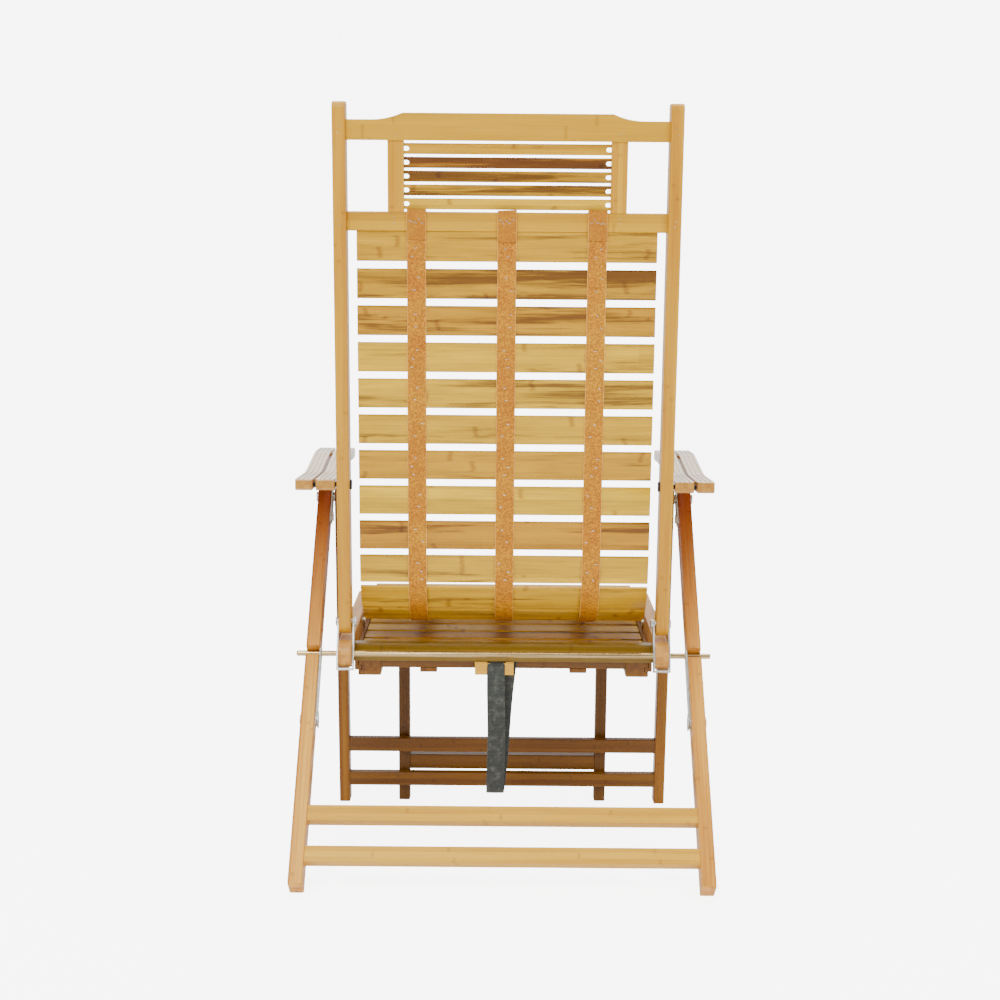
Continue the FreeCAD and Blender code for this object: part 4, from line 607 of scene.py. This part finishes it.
# Steel: the yellow-plated rod and pins, the zinc-plated strips, racks and bolts, and the black
# oxide nuts of the armrests.
rod_plating = bright_metal("Yellow zinc-plated steel rod", "A08250", 0.16, (6, 400, 400),
                           "E8CE9A")
plate_zinc = bright_metal("Zinc-plated steel strip", "A6A89C", 0.28, (500, 60, 60))
black_steel = bright_metal("Black oxide nut", "26262A", 0.35, (300, 300, 300), "3A3A3E")
dress(rod_plating, "rod", "armrest_pins")
dress(plate_zinc, "link_plate_left", "link_plate_right", "apex_plates", "stirrups",
      "armrest_rack_left", "armrest_rack_right", "apex_bolts", "apex_plate_screws",
      "link_thumb_bolts", "seat_pivot_bolts", "seat_pivot_nuts", "stile_bolts",
      "footrest_leg_bolts")
dress(black_steel, "armrest_pivot_left", "armrest_pivot_right")


# Webbing pull: dark grey polyester webbing in a loose loop over its block. Its two hanging runs
# lie apart at the top, where the far one is shifted sideways, and meet at the bottom.
def webbing_cloth():
    """Polyester webbing: fine ribs across and yarns along, dusty where it was rubbed."""
    material, tree, out = blank("Dark grey woven webbing")
    place = add(tree, "TexCoord").outputs["Object"]
    ribs = add(tree, "TexWave", {"wave_type": "BANDS", "bands_direction": "Z"},
               {"Scale": 130.0, "Distortion": 0.6, "Detail": 2.0, "Detail Scale": 3.0},
               {"Vector": place})
    warp = add(tree, "TexWave", {"wave_type": "BANDS", "bands_direction": "X"},
               {"Scale": 170.0, "Distortion": 0.4}, {"Vector": place})
    weave = add(tree, "Math", {"operation": "MULTIPLY"},
                links={0: ribs.outputs["Fac"], 1: warp.outputs["Fac"]})
    dust = add(tree, "TexNoise", None, {"Scale": 60.0, "Detail": 7.0, "Roughness": 0.75},
               {"Vector": place})
    scuffed = add(tree, "MapRange", None, {"From Min": 0.5, "From Max": 0.75, "To Max": 0.5},
                  {"Value": dust.outputs["Fac"]})
    yarn = add(tree, "Mix", {"data_type": "RGBA"}, {6: paint("232724"), 7: paint("4A4F4A")},
               {0: weave.outputs[0]})
    worn = add(tree, "Mix", {"data_type": "RGBA"}, {7: paint("83857C")},
               {0: scuffed.outputs["Result"], 6: yarn.outputs[2]})
    bump = add(tree, "Bump", None, {"Strength": 0.6, "Distance": 0.0006},
               {"Height": weave.outputs[0]})
    cloth = add(tree, "BsdfPrincipled", None, {"Roughness": 0.85, "Sheen Weight": 0.25},
                {"Base Color": worn.outputs[2], "Normal": bump.outputs["Normal"]})
    tree.links.new(cloth.outputs["BSDF"], out.inputs["Surface"])
    return material


web_low, web_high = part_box("webbing_loop")
web_mid = (web_low.y + web_high.y) / 2
web_wide, web_thick = web_high.x - web_low.x, 0.0018
top_z = web_high.z - 0.0012
top_apart, bottom_apart = 0.0122, 0.0087
turn_top, turn_deep = 0.010, 0.0085
far_shift = 0.019
run_waver, cloth_bow = 0.0008, 0.0006
hung_share, turn_share = 0.44, 0.12
hang_steps = 32


def loop_point(share):
    """Depth and height of the loop at a share of its way: down the near run, round, and up."""
    if hung_share <= share < hung_share + turn_share:
        turn = (share - hung_share) / turn_share * math.pi
        return (web_mid + bottom_apart * math.cos(turn),
                web_low.z + turn_top - turn_deep * math.sin(turn))
    side, fall = (1, share / hung_share) if share < 0.5 else (-1, (1 - share) / hung_share)
    return (web_mid + side * (top_apart - (top_apart - bottom_apart) * fall ** 2),
            top_z - (top_z - web_low.z - turn_top) * fall)


path = [loop_point(step / hang_steps) for step in range(hang_steps + 1)]
path = [(web_mid + 0.004, top_z)] + path + [(web_mid - 0.004, top_z)]
webbing = bmesh.new()
rows = []
for count, (y, z) in enumerate(path):
    share = count / (len(path) - 1)
    rise = max(0.0, (z - web_low.z) / (top_z - web_low.z))
    shift = -far_shift * rise if share > 0.5 else 0.0
    aside = shift + run_waver * math.sin(share * 17)
    across = [web_low.x + web_wide * part / 4 for part in range(5)]
    rows.append([webbing.verts.new((x + aside, y + cloth_bow * math.sin(x * 160), z))
                 for x in across])
rows.append(rows[0])
weave_rows(webbing, rows)
bmesh.ops.recalc_face_normals(webbing, faces=webbing.faces)
mesh = bpy.data.meshes.new("webbing_pull")
webbing.to_mesh(mesh)
webbing.free()
for face in mesh.polygons:
    face.use_smooth = True
pull = shown("webbing_pull", mesh, webbing_cloth())
thickness = pull.modifiers.new("thickness", "SOLIDIFY")
thickness.thickness, thickness.offset = web_thick, 0
smooth = pull.modifiers.new("smooth", "SUBSURF")
smooth.levels, smooth.render_levels = 1, 2
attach(pull, "webbing")
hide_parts("webbing_loop")

# Brads: small dark pin heads that fix the crest rail and the cross rail to the stiles and to
# the uprights of the head panel.
brad_steel = bright_metal("Dark brad heads", "3A2A18", 0.5, (200, 200, 200))
brad_radius, brad_dome = 0.0009, 0.35


def brads(name, spots):
    """Low domed pin heads set flush in the lacquer of the back."""
    heads = bmesh.new()
    turn = back_out.to_track_quat("Z", "Y").to_matrix().to_4x4()
    for spot in spots:
        bmesh.ops.create_uvsphere(heads, u_segments=10, v_segments=6, radius=brad_radius,
                                  matrix=Matrix.Translation(spot) @ turn
                                  @ Matrix.Diagonal((1, 1, brad_dome, 1)))
    mesh = bpy.data.meshes.new(name)
    heads.to_mesh(mesh)
    heads.free()
    shown(name, mesh, brad_steel, "back")


stile_middle, upright_middle = 0.2598, 0.1750
stile_face, crest_face, cross_face = 0.019, 0.011, 0.008
stile_spots = [on_back(side * (stile_middle + aside), rise, stile_face) for side in (1, -1)
               for aside, rise in ((-0.002, 0.795), (0.001, 0.784), (0.002, 0.653), (0.0, 0.645))]
crest_spots = [on_back(side * (upright_middle + aside), rise, crest_face) for side in (1, -1)
               for aside, rise in ((0.003, 0.786), (-0.003, 0.783))]
cross_spots = [on_back(side * (upright_middle + 0.001), rise, cross_face) for side in (1, -1)
               for rise in (0.657, 0.649)]
brads("back_brads", stile_spots)
brads("crest_brads", crest_spots + cross_spots)

# The studio: a sweep of white paper, a white surround and large soft lights, as in a catalogue
# picture. Paper and surround are brighter to the camera than to the chair, which keeps its
# shadows and its colours.
half_wide, under_feet = 6.0, 0.0005
profile = [(4.0, 0.0), (-2.5, 0.0), (-3.2, 0.06), (-3.7, 0.3), (-4.0, 0.8), (-4.0, 4.5)]
sweep = bmesh.new()
weave_rows(sweep, [[sweep.verts.new((side * half_wide, y, z - under_feet)) for side in (-1, 1)]
                   for y, z in profile])
stage = bpy.data.meshes.new("studio_floor")
sweep.to_mesh(stage)
sweep.free()
for face in stage.polygons:
    face.use_smooth = True
floor_paint, floor_tree, floor_out = blank("White studio paper")
fleck = add(floor_tree, "TexNoise", None, {"Scale": 40.0, "Detail": 3.0},
            {"Vector": add(floor_tree, "TexCoord").outputs["Object"]})
paper = add(floor_tree, "Mix", {"data_type": "RGBA"}, {6: paint("F8F8F7"), 7: paint("FCFCFC")},
            {0: fleck.outputs["Fac"]})
lit = add(floor_tree, "MapRange", None, {"To Min": 0.3, "To Max": 6.0},
          {"Value": add(floor_tree, "LightPath").outputs["Is Camera Ray"]})
matte = add(floor_tree, "BsdfPrincipled", None,
            {"Roughness": 0.9, "Emission Color": (1, 1, 1, 1)},
            {"Base Color": paper.outputs[2], "Emission Strength": lit.outputs["Result"]})
floor_tree.links.new(matte.outputs["BSDF"], floor_out.inputs["Surface"])
shown("studio_floor", stage, floor_paint)

world = bpy.data.worlds.new("white_surround")
bpy.context.scene.world = world
world.use_nodes = True
surround = world.node_tree
backdrop = surround.nodes["Background"]
backdrop.inputs["Color"].default_value = (1, 1, 1, 1)
seen = add(surround, "LightPath").outputs["Is Camera Ray"]
glow = add(surround, "MapRange", None, {"To Min": 0.5, "To Max": 7.5}, {"Value": seen})
surround.links.new(glow.outputs["Result"], backdrop.inputs["Strength"])


def soft_light(name, at, target, width, watts):
    """A square softbox that points at a target."""
    lamp = bpy.data.lights.new(name, "AREA")
    lamp.shape, lamp.size, lamp.energy = "SQUARE", width, watts
    holder = bpy.data.objects.new(name, lamp)
    holder.location = at
    holder.rotation_euler = (Vector(target) - Vector(at)).to_track_quat("-Z", "Y").to_euler()
    bpy.context.scene.collection.objects.link(holder)


soft_light("key_softbox", (1.2, 3.2, 2.7), (0, 0, 0.6), 1.4, 105)
soft_light("fill_softbox", (-2.0, 2.8, 1.9), (0, 0, 0.6), 1.6, 52)
soft_light("top_softbox", (0, -0.4, 3.4), (0, -0.1, 0.3), 2.2, 110)

# The camera stands behind the chair, a little above the armrests, and looks slightly down. Its
# lens, place, tilt and roll were solved from the photograph.
camera_at = Vector((0.0077, 2.7626, 0.8432))
tilt_down, roll = 0.0982, 0.008
lens = bpy.data.cameras.new("photo_camera")
lens.lens, lens.sensor_width = 60.09, 36.0
camera = bpy.data.objects.new("photo_camera", lens)
bpy.context.scene.collection.objects.link(camera)
camera.matrix_world = (Matrix.Translation(camera_at)
                       @ Matrix.Rotation(math.pi, 4, "Z")
                       @ Matrix.Rotation(upright - tilt_down, 4, "X")
                       @ Matrix.Rotation(roll, 4, "Z"))
bpy.context.scene.camera = camera
